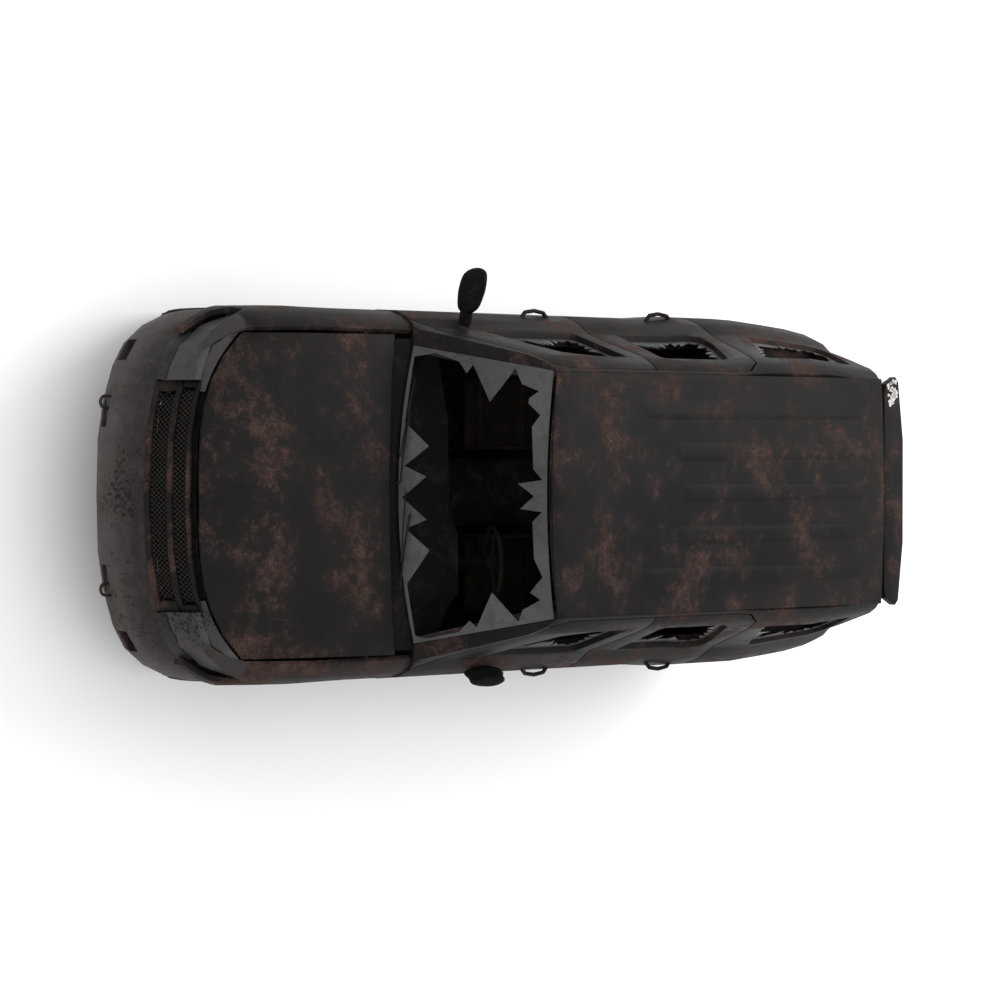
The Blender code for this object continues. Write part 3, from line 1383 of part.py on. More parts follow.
def assemble():
    """Every sub-part, with the empties that its joints turn about."""
    brackets = [arm_bracket(FRONT_AXLE_Y + side * ARM_SPREAD) for side in (1, -1)]
    brackets += [mirrored(bracket) for bracket in brackets]
    whole_frame = settled(fuse(ladder_frame(), "UNION", brackets))
    front_joint, rear_joint = FRAME_JOINTS
    front_end = RAIL_LINE[0][0] - RAIL_HALF_WIDTH
    rear_end = RAIL_LINE[-1][0] + RAIL_HALF_WIDTH
    make_part("frame_front", "frame_black", frame_section(whole_frame, front_end, front_joint))
    make_part("frame", "frame_black", frame_section(whole_frame, front_joint + SEAT, rear_joint))
    make_part("frame_rear", "frame_black", frame_section(whole_frame, rear_joint + SEAT, rear_end))
    make_part("floor_pan", "char", floor_pan())
    left_side = body_side()
    make_part("body_side_L", "burnt_paint", left_side)
    make_part("body_side_R", "burnt_paint", mirrored(left_side))
    make_part("roof", "burnt_paint", roof())
    make_part("cowl", "char", cowl())
    make_part("windscreen", "dull_glass", punched(screen_point, SCREEN_HOLE, 13, 7))
    left_fender = fender()
    make_part("fender_L", "burnt_paint", left_fender)
    make_part("fender_R", "burnt_paint", mirrored(left_fender))
    make_part("front_bumper", "ash_plastic", front_bumper())
    make_part("grille", "ash_plastic", grille())
    lamp = lamp_solid(0.0, LAMP_WALL, 0.0)
    make_part("headlamp_L", "dull_glass", lamp)
    make_part("headlamp_R", "dull_glass", mirrored(lamp))
    make_part("rear_bumper", "ash_plastic", rear_bumper())
    hood_hinge = pivot("hood_hinge", HOOD_AXIS)
    make_part("hood", "burnt_paint", hood(), hood_hinge, 40)
    gate_hinge = pivot("gate_hinge", GATE_AXIS)
    make_part("liftgate", "burnt_paint", liftgate(), gate_hinge)
    make_part("rear_glass", "dull_glass", punched(rear_glass_point, REAR_GLASS_HOLE, 11, 5), gate_hinge)
    make_part("trim_bar", "verdigris", trim_bar(), gate_hinge)
    hinges = {}
    for side, sign in SIDES:
        hinges["front" + side] = pivot(
            "front_door_hinge_" + side, (sign * DOOR_AXIS_X, FRONT_DOOR_AXIS_Y, DOOR_AXIS_Z))
        hinges["rear" + side] = pivot(
            "rear_door_hinge_" + side, (sign * DOOR_AXIS_X, REAR_DOOR_AXIS_Y, DOOR_AXIS_Z))
    front_door = door(FRONT_DOOR, FRONT_WINDOW, HANDLES["front"])
    rear_door = door(REAR_DOOR, REAR_WINDOW, HANDLES["rear"])
    make_part("front_door_L", "burnt_paint", front_door, hinges["frontL"])
    make_part("front_door_R", "burnt_paint", mirrored(front_door), hinges["frontR"])
    make_part("rear_door_L", "burnt_paint", rear_door, hinges["rearL"])
    make_part("rear_door_R", "burnt_paint", mirrored(rear_door), hinges["rearR"])
    make_part("mirror_L", "char", door_mirror(False), hinges["frontL"])
    make_part("mirror_R", "char", mirrored(door_mirror(True)), hinges["frontR"])
    make_part("dashboard", "char", dashboard())
    wheel_hinge = pivot("steering_wheel_axis", STEERING_WHEEL)
    make_part("steering_wheel", "char", steering_wheel(), wheel_hinge)
    make_part("steering_column", "char", steering_column())
    make_part("seat_L", "char", seat_frame(0.46))
    make_part("seat_R", "char", seat_frame(-0.46))
    make_part("rear_seat", "char", rear_seat())
    make_part("engine", "bare_steel", engine())
    make_part("gearbox", "bare_steel", gearbox())
    make_part("radiator", "char", radiator())
    make_part("propshaft", "bare_steel", propshaft())
    make_part("rear_axle", "bare_steel", rear_axle())
    make_part("exhaust", "bare_steel", exhaust())
    make_part("fuel_tank", "char", fuel_tank())
    board = running_board()
    make_part("running_board_L", "ash_plastic", board)
    make_part("running_board_R", "ash_plastic", mirrored(board))
    arm = lower_arm()
    make_part("lower_arm_L", "bare_steel", arm)
    make_part("lower_arm_R", "bare_steel", mirrored(arm))
    kingpin_L = pivot("kingpin_L", (KINGPIN_X, FRONT_AXLE_Y, TYRE_RADIUS))
    kingpin_R = pivot("kingpin_R", (-KINGPIN_X, FRONT_AXLE_Y, TYRE_RADIUS))
    hub = knuckle()
    make_part("knuckle_L", "bare_steel", hub, kingpin_L)
    make_part("knuckle_R", "bare_steel", mirrored(hub), kingpin_R)
    front_tyre = tyre(FRONT_TRACK_HALF, FRONT_AXLE_Y)
    front_rim = rim(FRONT_TRACK_HALF, FRONT_AXLE_Y)
    rear_tyre = tyre(REAR_TRACK_HALF, REAR_AXLE_Y)
    rear_rim = rim(REAR_TRACK_HALF, REAR_AXLE_Y)
    kingpins = {"L": kingpin_L, "R": kingpin_R}
    wheels = (
        ("front", FRONT_TRACK_HALF, FRONT_AXLE_Y, front_tyre, front_rim),
        ("rear", REAR_TRACK_HALF, REAR_AXLE_Y, rear_tyre, rear_rim),
    )
    for side, sign in SIDES:
        for end, track_half, axle_y, tyre_solid, rim_solid in wheels:
            centre = (sign * track_half, axle_y, TYRE_RADIUS)
            turn_about = kingpins[side] if end == "front" else None
            spin = pivot(end + "_wheel_axis_" + side, centre, turn_about)
            for name, solid, dress in (("tyre", tyre_solid, "rubber"), ("rim", rim_solid, "bare_steel")):
                whole = solid if sign > 0 else mirrored(solid)
                make_part("_".join((end, name, side)), dress, whole, spin, 35)


assemble()
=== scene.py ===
# %% [markdown]
# # The looks of a burnt-out off-road estate car
#
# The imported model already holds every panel, wheel and hinge at its real size. This
# notebook gives those pieces the look of a car that burnt out and then rusted: charred
# paint with blooms of rust, smoked glass, ragged panes and bare wires in the seats.
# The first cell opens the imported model. Everything that follows is placed in its frame:
# metres, +X to the car's left, +Y to its rear, +Z up.

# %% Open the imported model
import math
import random

import bpy
from mathutils import Matrix, Vector


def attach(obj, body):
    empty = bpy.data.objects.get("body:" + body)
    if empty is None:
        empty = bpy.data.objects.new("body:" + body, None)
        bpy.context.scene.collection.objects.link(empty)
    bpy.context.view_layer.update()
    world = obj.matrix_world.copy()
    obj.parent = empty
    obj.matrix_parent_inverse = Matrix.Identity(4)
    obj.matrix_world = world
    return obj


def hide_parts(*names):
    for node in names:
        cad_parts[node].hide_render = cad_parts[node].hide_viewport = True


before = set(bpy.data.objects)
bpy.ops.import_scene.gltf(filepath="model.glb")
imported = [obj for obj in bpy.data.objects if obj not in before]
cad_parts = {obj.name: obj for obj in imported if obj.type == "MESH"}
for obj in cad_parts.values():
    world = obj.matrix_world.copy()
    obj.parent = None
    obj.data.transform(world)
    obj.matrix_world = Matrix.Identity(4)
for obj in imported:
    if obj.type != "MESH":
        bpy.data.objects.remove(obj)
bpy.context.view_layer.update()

ROOT = "shell_and_frame"
SIDES = {"L": 1, "R": -1}
CAR_X = 0.085
FRONT_AXLE_Y = -1.575
REAR_AXLE_Y = 1.371
print("nodes in the packed model:", len(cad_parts))

# %% [markdown]
# ## Camera
#
# The reference view looks down on the front of the car at 47 degrees with a long lens,
# and it is turned a quarter round, so the nose points left and the car's right side
# lies at the top. A camera is a box with its own right, up and backward directions.
# Those three are worked out from the place and the target, which is safer than typing
# angles: the quarter turn is simply a choice of which way is up in the picture.

# %% Camera
CAMERA_PLACE = Vector((-0.143, -13.914, 15.629))
CAMERA_TARGET = Vector((0.126, -0.061, 0.900))
LENS_MM = 129.7


def add_camera():
    data = bpy.data.cameras.new("view_camera")
    data.lens = LENS_MM
    data.sensor_width = 36.0
    data.clip_end = 200.0
    camera = bpy.data.objects.new("view_camera", data)
    bpy.context.scene.collection.objects.link(camera)
    forward = (CAMERA_TARGET - CAMERA_PLACE).normalized()
    right = forward.cross(Vector((-1.0, 0.0, 0.0))).normalized()
    up = right.cross(forward)
    turn = Matrix((right, up, -forward)).transposed().to_4x4()
    camera.matrix_world = Matrix.Translation(CAMERA_PLACE) @ turn
    bpy.context.scene.camera = camera
    return camera


camera = add_camera()
print("camera looks along", tuple(round(v, 3) for v in (CAMERA_TARGET - CAMERA_PLACE).normalized()))

# %% [markdown]
# ## Light and floor
#
# The car is almost black, so the light has to be broad: small lamps would only leave
# bright dots on it. A pale sky lights everything evenly and keeps the shadow faint. One
# big soft panel behind the roof's right side gives the roof its faint sheen, while the
# hood, which leans the other way, stays darker.
# The floor is one large pale sheet.

# %% Light and floor
KEY_PLACE = Vector((-3.5, 5.5, 8.5))
KEY_TARGET = Vector((CAR_X, 0.0, 0.8))
KEY_SIZE = 7.0
KEY_POWER = 620.0
SKY_STRENGTH = 1.25
FLOOR_SIZE = 80.0
FLOOR_DROP = 0.001


def add_key_panel():
    data = bpy.data.lights.new("key_panel", "AREA")
    data.shape = "SQUARE"
    data.size = KEY_SIZE
    data.energy = KEY_POWER
    lamp = bpy.data.objects.new("key_panel", data)
    bpy.context.scene.collection.objects.link(lamp)
    lamp.location = KEY_PLACE
    lamp.rotation_euler = (KEY_TARGET - KEY_PLACE).to_track_quat("-Z", "Y").to_euler()


def add_pale_sky():
    sky = bpy.data.worlds.new("pale_sky")
    sky.use_nodes = True
    background = sky.node_tree.nodes["Background"]
    background.inputs["Color"].default_value = (1.0, 1.0, 1.0, 1.0)
    background.inputs["Strength"].default_value = SKY_STRENGTH
    bpy.context.scene.world = sky


def clean_start():
    """Leave edit mode and let go of everything, so that an operator acts on one piece."""
    if bpy.context.mode != "OBJECT":
        bpy.ops.object.mode_set(mode="OBJECT")
    bpy.ops.object.select_all(action="DESELECT")


add_key_panel()
add_pale_sky()
bpy.context.scene.view_settings.view_transform = "Standard"
clean_start()
bpy.ops.mesh.primitive_plane_add(size=FLOOR_SIZE, location=(0.0, 0.0, -FLOOR_DROP))
floor = bpy.context.object
floor.name = "studio_floor"
print("sky strength", SKY_STRENGTH, "key power", KEY_POWER)

# %% [markdown]
# ## How a finish is mixed
#
# A burnt surface is never one colour. Each finish below is a stack of clouds: a slow
# cloud says where rust gathers, a quicker one tears its edge, and a fine grain breaks it
# into specks. The helpers add one node each, so that a finish reads like a recipe. All
# clouds read Object coordinates. Every piece keeps its object at the origin, so a cloud
# runs on across neighbouring panels as real soot does.

# %% Helpers for finishes
def start_finish(name, roughness, specular):
    """A new material and its shader, with the even numbers set on the shader itself."""
    material = bpy.data.materials.new(name)
    material.use_nodes = True
    tree = material.node_tree
    shader = tree.nodes["Principled BSDF"]
    shader.inputs["Roughness"].default_value = roughness
    shader.inputs["Specular IOR Level"].default_value = specular
    return material, tree, shader


def object_place(tree):
    return tree.nodes.new("ShaderNodeTexCoord").outputs["Object"]


def cloud(tree, place, scale, detail=4.0, roughness=0.55, distortion=0.0):
    noise = tree.nodes.new("ShaderNodeTexNoise")
    noise.inputs["Scale"].default_value = scale
    noise.inputs["Detail"].default_value = detail
    noise.inputs["Roughness"].default_value = roughness
    noise.inputs["Distortion"].default_value = distortion
    tree.links.new(place, noise.inputs["Vector"])
    return noise.outputs["Fac"]


def window_of(tree, value, low, high, to_low=0.0, to_high=1.0):
    """Stretch the part of a value between low and high over a new range."""
    step = tree.nodes.new("ShaderNodeMapRange")
    step.inputs["From Min"].default_value = low
    step.inputs["From Max"].default_value = high
    step.inputs["To Min"].default_value = to_low
    step.inputs["To Max"].default_value = to_high
    tree.links.new(value, step.inputs["Value"])
    return step.outputs["Result"]


def combine(tree, kind, first, second):
    """Add or multiply two values; the second may be a plain number."""
    step = tree.nodes.new("ShaderNodeMath")
    step.operation = kind
    tree.links.new(first, step.inputs[0])
    if isinstance(second, float):
        step.inputs[1].default_value = second
    else:
        tree.links.new(second, step.inputs[1])
    return step.outputs[0]


def blend_colours(tree, share, first, second):
    """Mix two colours; each is a fixed colour or the output of another node."""
    step = tree.nodes.new("ShaderNodeMix")
    step.data_type = "RGBA"
    tree.links.new(share, step.inputs[0])
    for socket, colour in ((step.inputs[6], first), (step.inputs[7], second)):
        if isinstance(colour, tuple):
            socket.default_value = (*colour, 1.0)
        else:
            tree.links.new(colour, socket)
    return step.outputs[2]


def height_of(tree, place, axis="Z"):
    """How far a place lies along one axis of the frame."""
    step = tree.nodes.new("ShaderNodeSeparateXYZ")
    tree.links.new(place, step.inputs[0])
    return step.outputs[axis]


def roughen(tree, shader, values):
    """Bump from (value, strength, distance) rows, one after the other."""
    normal = None
    for value, strength, distance in values:
        step = tree.nodes.new("ShaderNodeBump")
        step.inputs["Strength"].default_value = strength
        step.inputs["Distance"].default_value = distance
        tree.links.new(value, step.inputs["Height"])
        if normal is not None:
            tree.links.new(normal, step.inputs["Normal"])
        normal = step.outputs["Normal"]
    tree.links.new(normal, shader.inputs["Normal"])


print("finish helpers ready")

# %% [markdown]
# ## Burnt paint with rust
#
# On the real panels the paint has burnt to a blue-black film. Rust comes through in
# patches a hand wide, densest near edges and ledges, and each patch is a spray of brown
# specks with a few pale ones. So the rust share is a slow cloud plus a quick ragged one,
# cut off low, and then broken by grain. The share also steers roughness and bump,
# because rust is rougher and stands proud of the film.

# %% Burnt paint
CHAR_COOL = (0.0058, 0.0057, 0.0063)
CHAR_WARM = (0.0088, 0.0073, 0.0073)
FILM_BROWN = (0.0150, 0.0106, 0.0100)
RUST_DEEP = (0.0275, 0.0155, 0.0130)
RUST_PALE = (0.0640, 0.0390, 0.0325)
LENS_GREY = (0.0340, 0.0310, 0.0310)
LAMP_END_Y = -2.05
LAMP_LOW_Z = 0.94
LAMP_HIGH_Z = 0.97


def burnt_finish(name, rust_from, rust_to, film=0.55, lamp_end=None):
    """Burnt paint; in front of lamp_end its top is covered by the ash of the lamp."""
    material, tree, shader = start_finish(name, 0.6, 0.06)
    place = object_place(tree)
    slow = cloud(tree, place, 3.2, 3.0, 0.55)
    ragged = cloud(tree, place, 17.0, 9.0, 0.80, 0.4)
    grain = cloud(tree, place, 95.0, 5.0, 0.75)
    drift = cloud(tree, place, 0.9, 2.0, 0.5)
    gathered = combine(tree, "ADD", combine(tree, "MULTIPLY", slow, 0.5),
                       combine(tree, "MULTIPLY", ragged, 0.5))
    rust = window_of(tree, gathered, rust_from, rust_to)
    speck = window_of(tree, grain, 0.36, 0.60)
    rust_share = combine(tree, "MULTIPLY", rust, window_of(tree, grain, 0.30, 0.52, 0.25, 1.0))
    base = blend_colours(tree, window_of(tree, drift, 0.40, 0.62), CHAR_COOL, CHAR_WARM)
    veil = combine(tree, "MULTIPLY", window_of(tree, slow, 0.42, 0.66), film)
    base = blend_colours(tree, veil, base, FILM_BROWN)
    rust_colour = blend_colours(tree, speck, RUST_DEEP, RUST_PALE)
    colour = blend_colours(tree, rust_share, base, rust_colour)
    if lamp_end is not None:
        ash = window_of(tree, height_of(tree, place, "Y"), lamp_end, lamp_end - 0.02)
        above = window_of(tree, height_of(tree, place), LAMP_LOW_Z, LAMP_HIGH_Z)
        ash = combine(tree, "MULTIPLY", ash, above)
        ash = combine(tree, "MULTIPLY", ash, window_of(tree, ragged, 0.60, 0.54))
        colour = blend_colours(tree, ash, colour, LENS_GREY)
    tree.links.new(colour, shader.inputs["Base Color"])
    tree.links.new(window_of(tree, rust_share, 0.0, 0.7, 0.52, 0.9), shader.inputs["Roughness"])
    blister = combine(tree, "MULTIPLY", rust_share, grain)
    warp = cloud(tree, place, 2.6, 2.0, 0.4)
    roughen(tree, shader, [(warp, 0.25, 0.012), (blister, 0.6, 0.0016), (grain, 0.12, 0.0008)])
    return material


burnt_paint = burnt_finish("burnt_paint", rust_from=0.518, rust_to=0.620)
rusty_paint = burnt_finish("rusty_paint", rust_from=0.490, rust_to=0.590, film=0.9)
fender_paint = burnt_finish("fender_paint", rust_from=0.500, rust_to=0.600, film=0.8,
                            lamp_end=LAMP_END_Y)
print("finishes:", burnt_paint.name, rusty_paint.name, fender_paint.name)

# %% [markdown]
# ## Scorched plastic, glass and lamps
#
# The bumpers, lamps and panes are covered by pale ash, so they look grey beside the
# black body. Where the fire licked them they have crisp black spots. Glass broke into
# a fine net of cracks, which a cell pattern draws: the edge of each cell is a crack.

# %% Ash on plastic, glass and lamps
ASH_GREY = (0.0520, 0.0455, 0.0450)
ASH_BROWN = (0.0430, 0.0325, 0.0300)
GLASS_GREY = (0.0520, 0.0510, 0.0530)
GLASS_DARK = (0.0330, 0.0330, 0.0350)
LENS_PALE = (0.0380, 0.0350, 0.0350)
LENS_DARK = (0.0290, 0.0270, 0.0270)
SMOKE = (0.0155, 0.0128, 0.0122)
SOOT = (0.0042, 0.0042, 0.0044)
BUMPER_SMOKE = (0.60, 0.72)


def ash_finish(name, first, second, burn_from, crack=0.0, roughness=0.62, height=None,
               specular=0.15):
    """Ash over plastic or glass: two greys, black burn spots, and cracks where asked.

    Between the two heights, where they are given, smoke takes over the ash.
    """
    material, tree, shader = start_finish(name, roughness, specular)
    place = object_place(tree)
    slow = cloud(tree, place, 2.4, 3.0, 0.5)
    patch = cloud(tree, place, 13.0, 9.0, 0.72, 0.6)
    spot = cloud(tree, place, 48.0, 5.0, 0.7)
    colour = blend_colours(tree, window_of(tree, slow, 0.38, 0.62), first, second)
    colour = blend_colours(tree, window_of(tree, patch, 0.50, 0.66, 0.0, 0.55), colour, SMOKE)
    if height is not None:
        low, high = height
        share = window_of(tree, height_of(tree, place), low, high)
        share = combine(tree, "MULTIPLY", share, window_of(tree, patch, 0.30, 0.55, 0.5, 1.0))
        colour = blend_colours(tree, share, colour, SMOKE)
    burn = combine(tree, "ADD", combine(tree, "MULTIPLY", spot, 0.6),
                   combine(tree, "MULTIPLY", slow, 0.4))
    colour = blend_colours(tree, window_of(tree, burn, burn_from, burn_from + 0.02), colour, SOOT)
    bumps = [(patch, 0.3, 0.002), (spot, 0.2, 0.001)]
    if crack:
        cell = tree.nodes.new("ShaderNodeTexVoronoi")
        cell.feature = "DISTANCE_TO_EDGE"
        cell.inputs["Scale"].default_value = crack
        tree.links.new(place, cell.inputs["Vector"])
        line = window_of(tree, cell.outputs["Distance"], 0.0, 0.035, 0.5, 0.0)
        colour = blend_colours(tree, line, colour, SMOKE)
        bumps.append((cell.outputs["Distance"], 0.15, 0.001))
    tree.links.new(colour, shader.inputs["Base Color"])
    roughen(tree, shader, bumps)
    return material


ash_plastic = ash_finish("ash_plastic", ASH_GREY, ASH_BROWN, burn_from=0.578)
bumper_ash = ash_finish("bumper_ash", ASH_GREY, ASH_BROWN, burn_from=0.572, height=BUMPER_SMOKE)
smoked_glass = ash_finish("smoked_glass", GLASS_GREY, GLASS_DARK, burn_from=0.615, crack=26.0,
                          roughness=0.42, specular=0.28)
burnt_lens = ash_finish("burnt_lens", LENS_PALE, LENS_DARK, burn_from=0.560, roughness=0.5)
print("ash finishes:", ash_plastic.name, bumper_ash.name, smoked_glass.name, burnt_lens.name)

# %% [markdown]
# ## Soot, steel, rubber and verdigris
#
# Under the car and in the cabin everything is soot over steel. These finishes share one
# recipe with other colours: a base, patches of a second colour, and fine grain.
# Verdigris is for the brass trim on the liftgate, which has gone green, and the last
# finish is the plain floor's.

# %% Soot, steel, rubber and verdigris
PATCHY_SPECULAR = 0.08


def patchy_finish(name, base, patches, patch_from, roughness, metallic=0.0, scale=8.0,
                  bump=0.0015):
    """A base colour with ragged patches of a second one, and a fine grain over both."""
    material, tree, shader = start_finish(name, roughness, PATCHY_SPECULAR)
    shader.inputs["Metallic"].default_value = metallic
    place = object_place(tree)
    patch = cloud(tree, place, scale, 8.0, 0.68, 0.4)
    grain = cloud(tree, place, 85.0, 4.0, 0.7)
    share = window_of(tree, patch, patch_from, patch_from + 0.14)
    share = combine(tree, "MULTIPLY", share, window_of(tree, grain, 0.32, 0.58, 0.35, 1.0))
    colour = blend_colours(tree, share, base, patches)
    tree.links.new(colour, shader.inputs["Base Color"])
    roughen(tree, shader, [(patch, 0.35, bump * 2), (grain, 0.35, bump)])
    return material


soot = patchy_finish("soot", base=(0.0036, 0.0036, 0.0039), patches=(0.0140, 0.0110, 0.0098),
                     patch_from=0.52, roughness=0.85)
floor_soot = patchy_finish("floor_soot", base=(0.0040, 0.0040, 0.0044),
                           patches=(0.0200, 0.0198, 0.0222), patch_from=0.49, roughness=0.8,
                           scale=6.0, bump=0.004)
burnt_spring = patchy_finish("burnt_spring", base=(0.0100, 0.0082, 0.0075),
                             patches=(0.0240, 0.0150, 0.0115), patch_from=0.50, roughness=0.85)
grey_steel = patchy_finish("grey_steel", base=(0.0400, 0.0390, 0.0410),
                           patches=(0.0190, 0.0165, 0.0155), patch_from=0.50, roughness=0.7)
frame_black = patchy_finish("frame_black", base=(0.0080, 0.0081, 0.0088),
                            patches=(0.0250, 0.0245, 0.0260), patch_from=0.52, roughness=0.75)
dull_steel = patchy_finish("dull_steel", base=(0.0270, 0.0250, 0.0235),
                           patches=(0.0400, 0.0225, 0.0165), patch_from=0.50, roughness=0.72,
                           metallic=0.25)
rusty_wire = patchy_finish("rusty_wire", base=(0.0340, 0.0215, 0.0168),
                           patches=(0.0620, 0.0370, 0.0255), patch_from=0.48, roughness=0.85,
                           metallic=0.1)
charred_rubber = patchy_finish("charred_rubber", base=(0.0076, 0.0076, 0.0079),
                               patches=(0.0210, 0.0198, 0.0192), patch_from=0.55, roughness=0.9,
                               scale=14.0)
verdigris = patchy_finish("verdigris", base=(0.0450, 0.1450, 0.1080),
                          patches=(0.0260, 0.0400, 0.0320), patch_from=0.50, roughness=0.6,
                          metallic=0.1, scale=16.0)
pale_flake = patchy_finish("pale_flake", base=(0.4600, 0.4550, 0.4500),
                           patches=(0.2200, 0.2150, 0.2100), patch_from=0.55, roughness=0.8)
floor_paint = patchy_finish("studio_floor", base=(0.86, 0.86, 0.86), patches=(0.85, 0.85, 0.85),
                            patch_from=0.55, roughness=0.9, scale=0.6, bump=0.0)
floor.data.materials.append(floor_paint)
print("finishes in all:", len(bpy.data.materials))

# %% [markdown]
# ## Dressing a packed panel
#
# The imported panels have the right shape, but their edges are knife sharp and their
# curves are made of flats. A pressed panel has edges rolled over by a few millimetres,
# and those rolled edges are what catch the light. The panel itself may not be changed,
# so a copy of it is merged, its flat faces are joined, its edges get a small bevel, and
# its gentle corners are shaded smooth. The copy then stands for the panel.

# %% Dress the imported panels
MERGE_WITHIN = 0.00005
FLAT_WITHIN = math.radians(0.6)
ROLL_ABOVE = math.radians(38.0)
SMOOTH_BELOW = math.radians(33.0)


def take_copy(node, name):
    """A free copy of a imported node's mesh, at the origin, selected alone."""
    clean_start()
    piece = bpy.data.objects.new(name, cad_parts[node].data.copy())
    bpy.context.scene.collection.objects.link(piece)
    piece.select_set(True)
    bpy.context.view_layer.objects.active = piece
    return piece


def dress(node, body, finish, roll):
    piece = take_copy(node, node + "_dressed")
    bpy.ops.mesh.customdata_custom_splitnormals_clear()
    bpy.ops.object.mode_set(mode="EDIT")
    bpy.ops.mesh.select_all(action="SELECT")
    bpy.ops.mesh.remove_doubles(threshold=MERGE_WITHIN)
    bpy.ops.mesh.dissolve_limited(angle_limit=FLAT_WITHIN)
    bpy.ops.object.mode_set(mode="OBJECT")
    bevel = piece.modifiers.new("rolled_edge", "BEVEL")
    bevel.width = roll
    bevel.segments = 2
    bevel.limit_method = "ANGLE"
    bevel.angle_limit = ROLL_ABOVE
    bpy.ops.object.modifier_apply(modifier=bevel.name)
    bpy.ops.object.shade_smooth_by_angle(angle=SMOOTH_BELOW)
    piece.data.materials.clear()
    piece.data.materials.append(finish)
    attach(piece, body)
    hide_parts(node)
    return piece


PANELS = (
    # node, body, finish, slot, rolled edge; where a name has a #, there is one on each side
    ("hood", "hood", burnt_paint, "burnt_paint", 0.0030),
    ("roof", ROOT, burnt_paint, "burnt_paint", 0.0020),
    ("fender_#", ROOT, fender_paint, "burnt_paint", 0.0030),
    ("body_side_#", ROOT, burnt_paint, "burnt_paint", 0.0025),
    ("front_door_#", "front_door_#", burnt_paint, "burnt_paint", 0.0025),
    ("rear_door_#", "rear_door_#", burnt_paint, "burnt_paint", 0.0025),
    ("liftgate", "liftgate", burnt_paint, "burnt_paint", 0.0030),
    ("front_bumper", ROOT, bumper_ash, "ash_plastic", 0.0040),
    ("rear_bumper", ROOT, ash_plastic, "ash_plastic", 0.0040),
    ("headlamp_#", ROOT, burnt_lens, "dull_lens", 0.0030),
    ("cowl", ROOT, soot, "char", 0.0020),
    ("running_board_#", ROOT, ash_plastic, "ash_plastic", 0.0030),
    ("front_rim_#", "front_wheel_#", dull_steel, "bare_steel", 0.0030),
    ("rear_rim_#", "rear_wheel_#", dull_steel, "bare_steel", 0.0030),
)
dressed = {}
for node, body, finish, slot, roll in PANELS:
    for side in SIDES if "#" in node else ("",):
        name = node.replace("#", side)
        dressed[name] = dress(name, body.replace("#", side), finish, roll)
print("dressed panels:", len(dressed))

# %% [markdown]
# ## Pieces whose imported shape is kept
#
# Shafts, arms, the frame, the two ragged panes and most parts inside are already the
# right shape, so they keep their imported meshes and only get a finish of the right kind.

# %% Finishes for the kept pieces
KEPT = (
    (frame_black, ("frame", "frame_front", "frame_rear", "fuel_tank")),
    (floor_soot, ("floor_pan",)),
    (smoked_glass, ("windscreen", "rear_glass")),
    (verdigris, ("trim_bar",)),
    (soot, ("dashboard", "steering_column", "radiator")),
    (burnt_spring, ("steering_wheel",)),
    (dull_steel, ("engine", "gearbox")),
    (grey_steel, ("propshaft", "rear_axle", "exhaust", "lower_arm_L", "lower_arm_R",
                  "knuckle_L", "knuckle_R")),
)
for finish, nodes in KEPT:
    for node in nodes:
        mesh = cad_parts[node].data
        mesh.materials.clear()
        mesh.materials.append(finish)
print("kept pieces:", sum(len(nodes) for finish, nodes in KEPT))

# %% [markdown]
# ## Handing over a new piece
#
# Each new piece starts as one of Blender's primitives or as a bent wire. When it is
# done, its place is put into its mesh, because a cloud on Object coordinates would
# slide if the object itself stood somewhere else. It then gets its finish, its body to
# ride on and its name.

# %% Helpers for new pieces
def take_alone(piece):
    clean_start()
    piece.select_set(True)
    bpy.context.view_layer.objects.active = piece


def hand_over(piece, name, body, finish, smooth=32.0):
    take_alone(piece)
    bpy.ops.object.transform_apply(location=True, rotation=True, scale=True)
    bpy.ops.object.shade_smooth_by_angle(angle=math.radians(smooth))
    piece.name = name
    piece.data.name = name
    piece.data.materials.clear()
    piece.data.materials.append(finish)
    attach(piece, body)
    return piece


def finish_with(piece, kind, **settings):
    """Add one modifier to a piece and apply it."""
    take_alone(piece)
    step = piece.modifiers.new(kind.lower(), kind)
    for key, value in settings.items():
        setattr(step, key, value)
    bpy.ops.object.modifier_apply(modifier=step.name)
    return piece


def face_outwards(merge_within=0.0):
    """Turn the active piece's faces outwards, once its doubles are merged where asked."""
    bpy.ops.object.mode_set(mode="EDIT")
    bpy.ops.mesh.select_all(action="SELECT")
    if merge_within:
        bpy.ops.mesh.remove_doubles(threshold=merge_within)
    bpy.ops.mesh.normals_make_consistent(inside=False)
    bpy.ops.object.mode_set(mode="OBJECT")


def join_all(pieces):
    clean_start()
    for piece in pieces:
        piece.select_set(True)
    bpy.context.view_layer.objects.active = pieces[0]
    bpy.ops.object.join()
    return bpy.context.object


def bar(low, high, roll=0.004):
    """A block between two corners, measured from the car's middle plane, edges rolled."""
    clean_start()
    middle = [(a + b) / 2 for a, b in zip(low, high)]
    size = [abs(b - a) for a, b in zip(low, high)]
    bpy.ops.mesh.primitive_cube_add(size=1.0, location=(middle[0] + CAR_X, middle[1], middle[2]))
    piece = bpy.context.object
    piece.scale = size
    bpy.ops.object.transform_apply(location=False, rotation=False, scale=True)
    if roll:
        bpy.ops.object.mode_set(mode="EDIT")
        bpy.ops.mesh.select_all(action="SELECT")
        bpy.ops.mesh.bevel(offset=roll, segments=2, affect="EDGES")
        bpy.ops.object.mode_set(mode="OBJECT")
    return piece


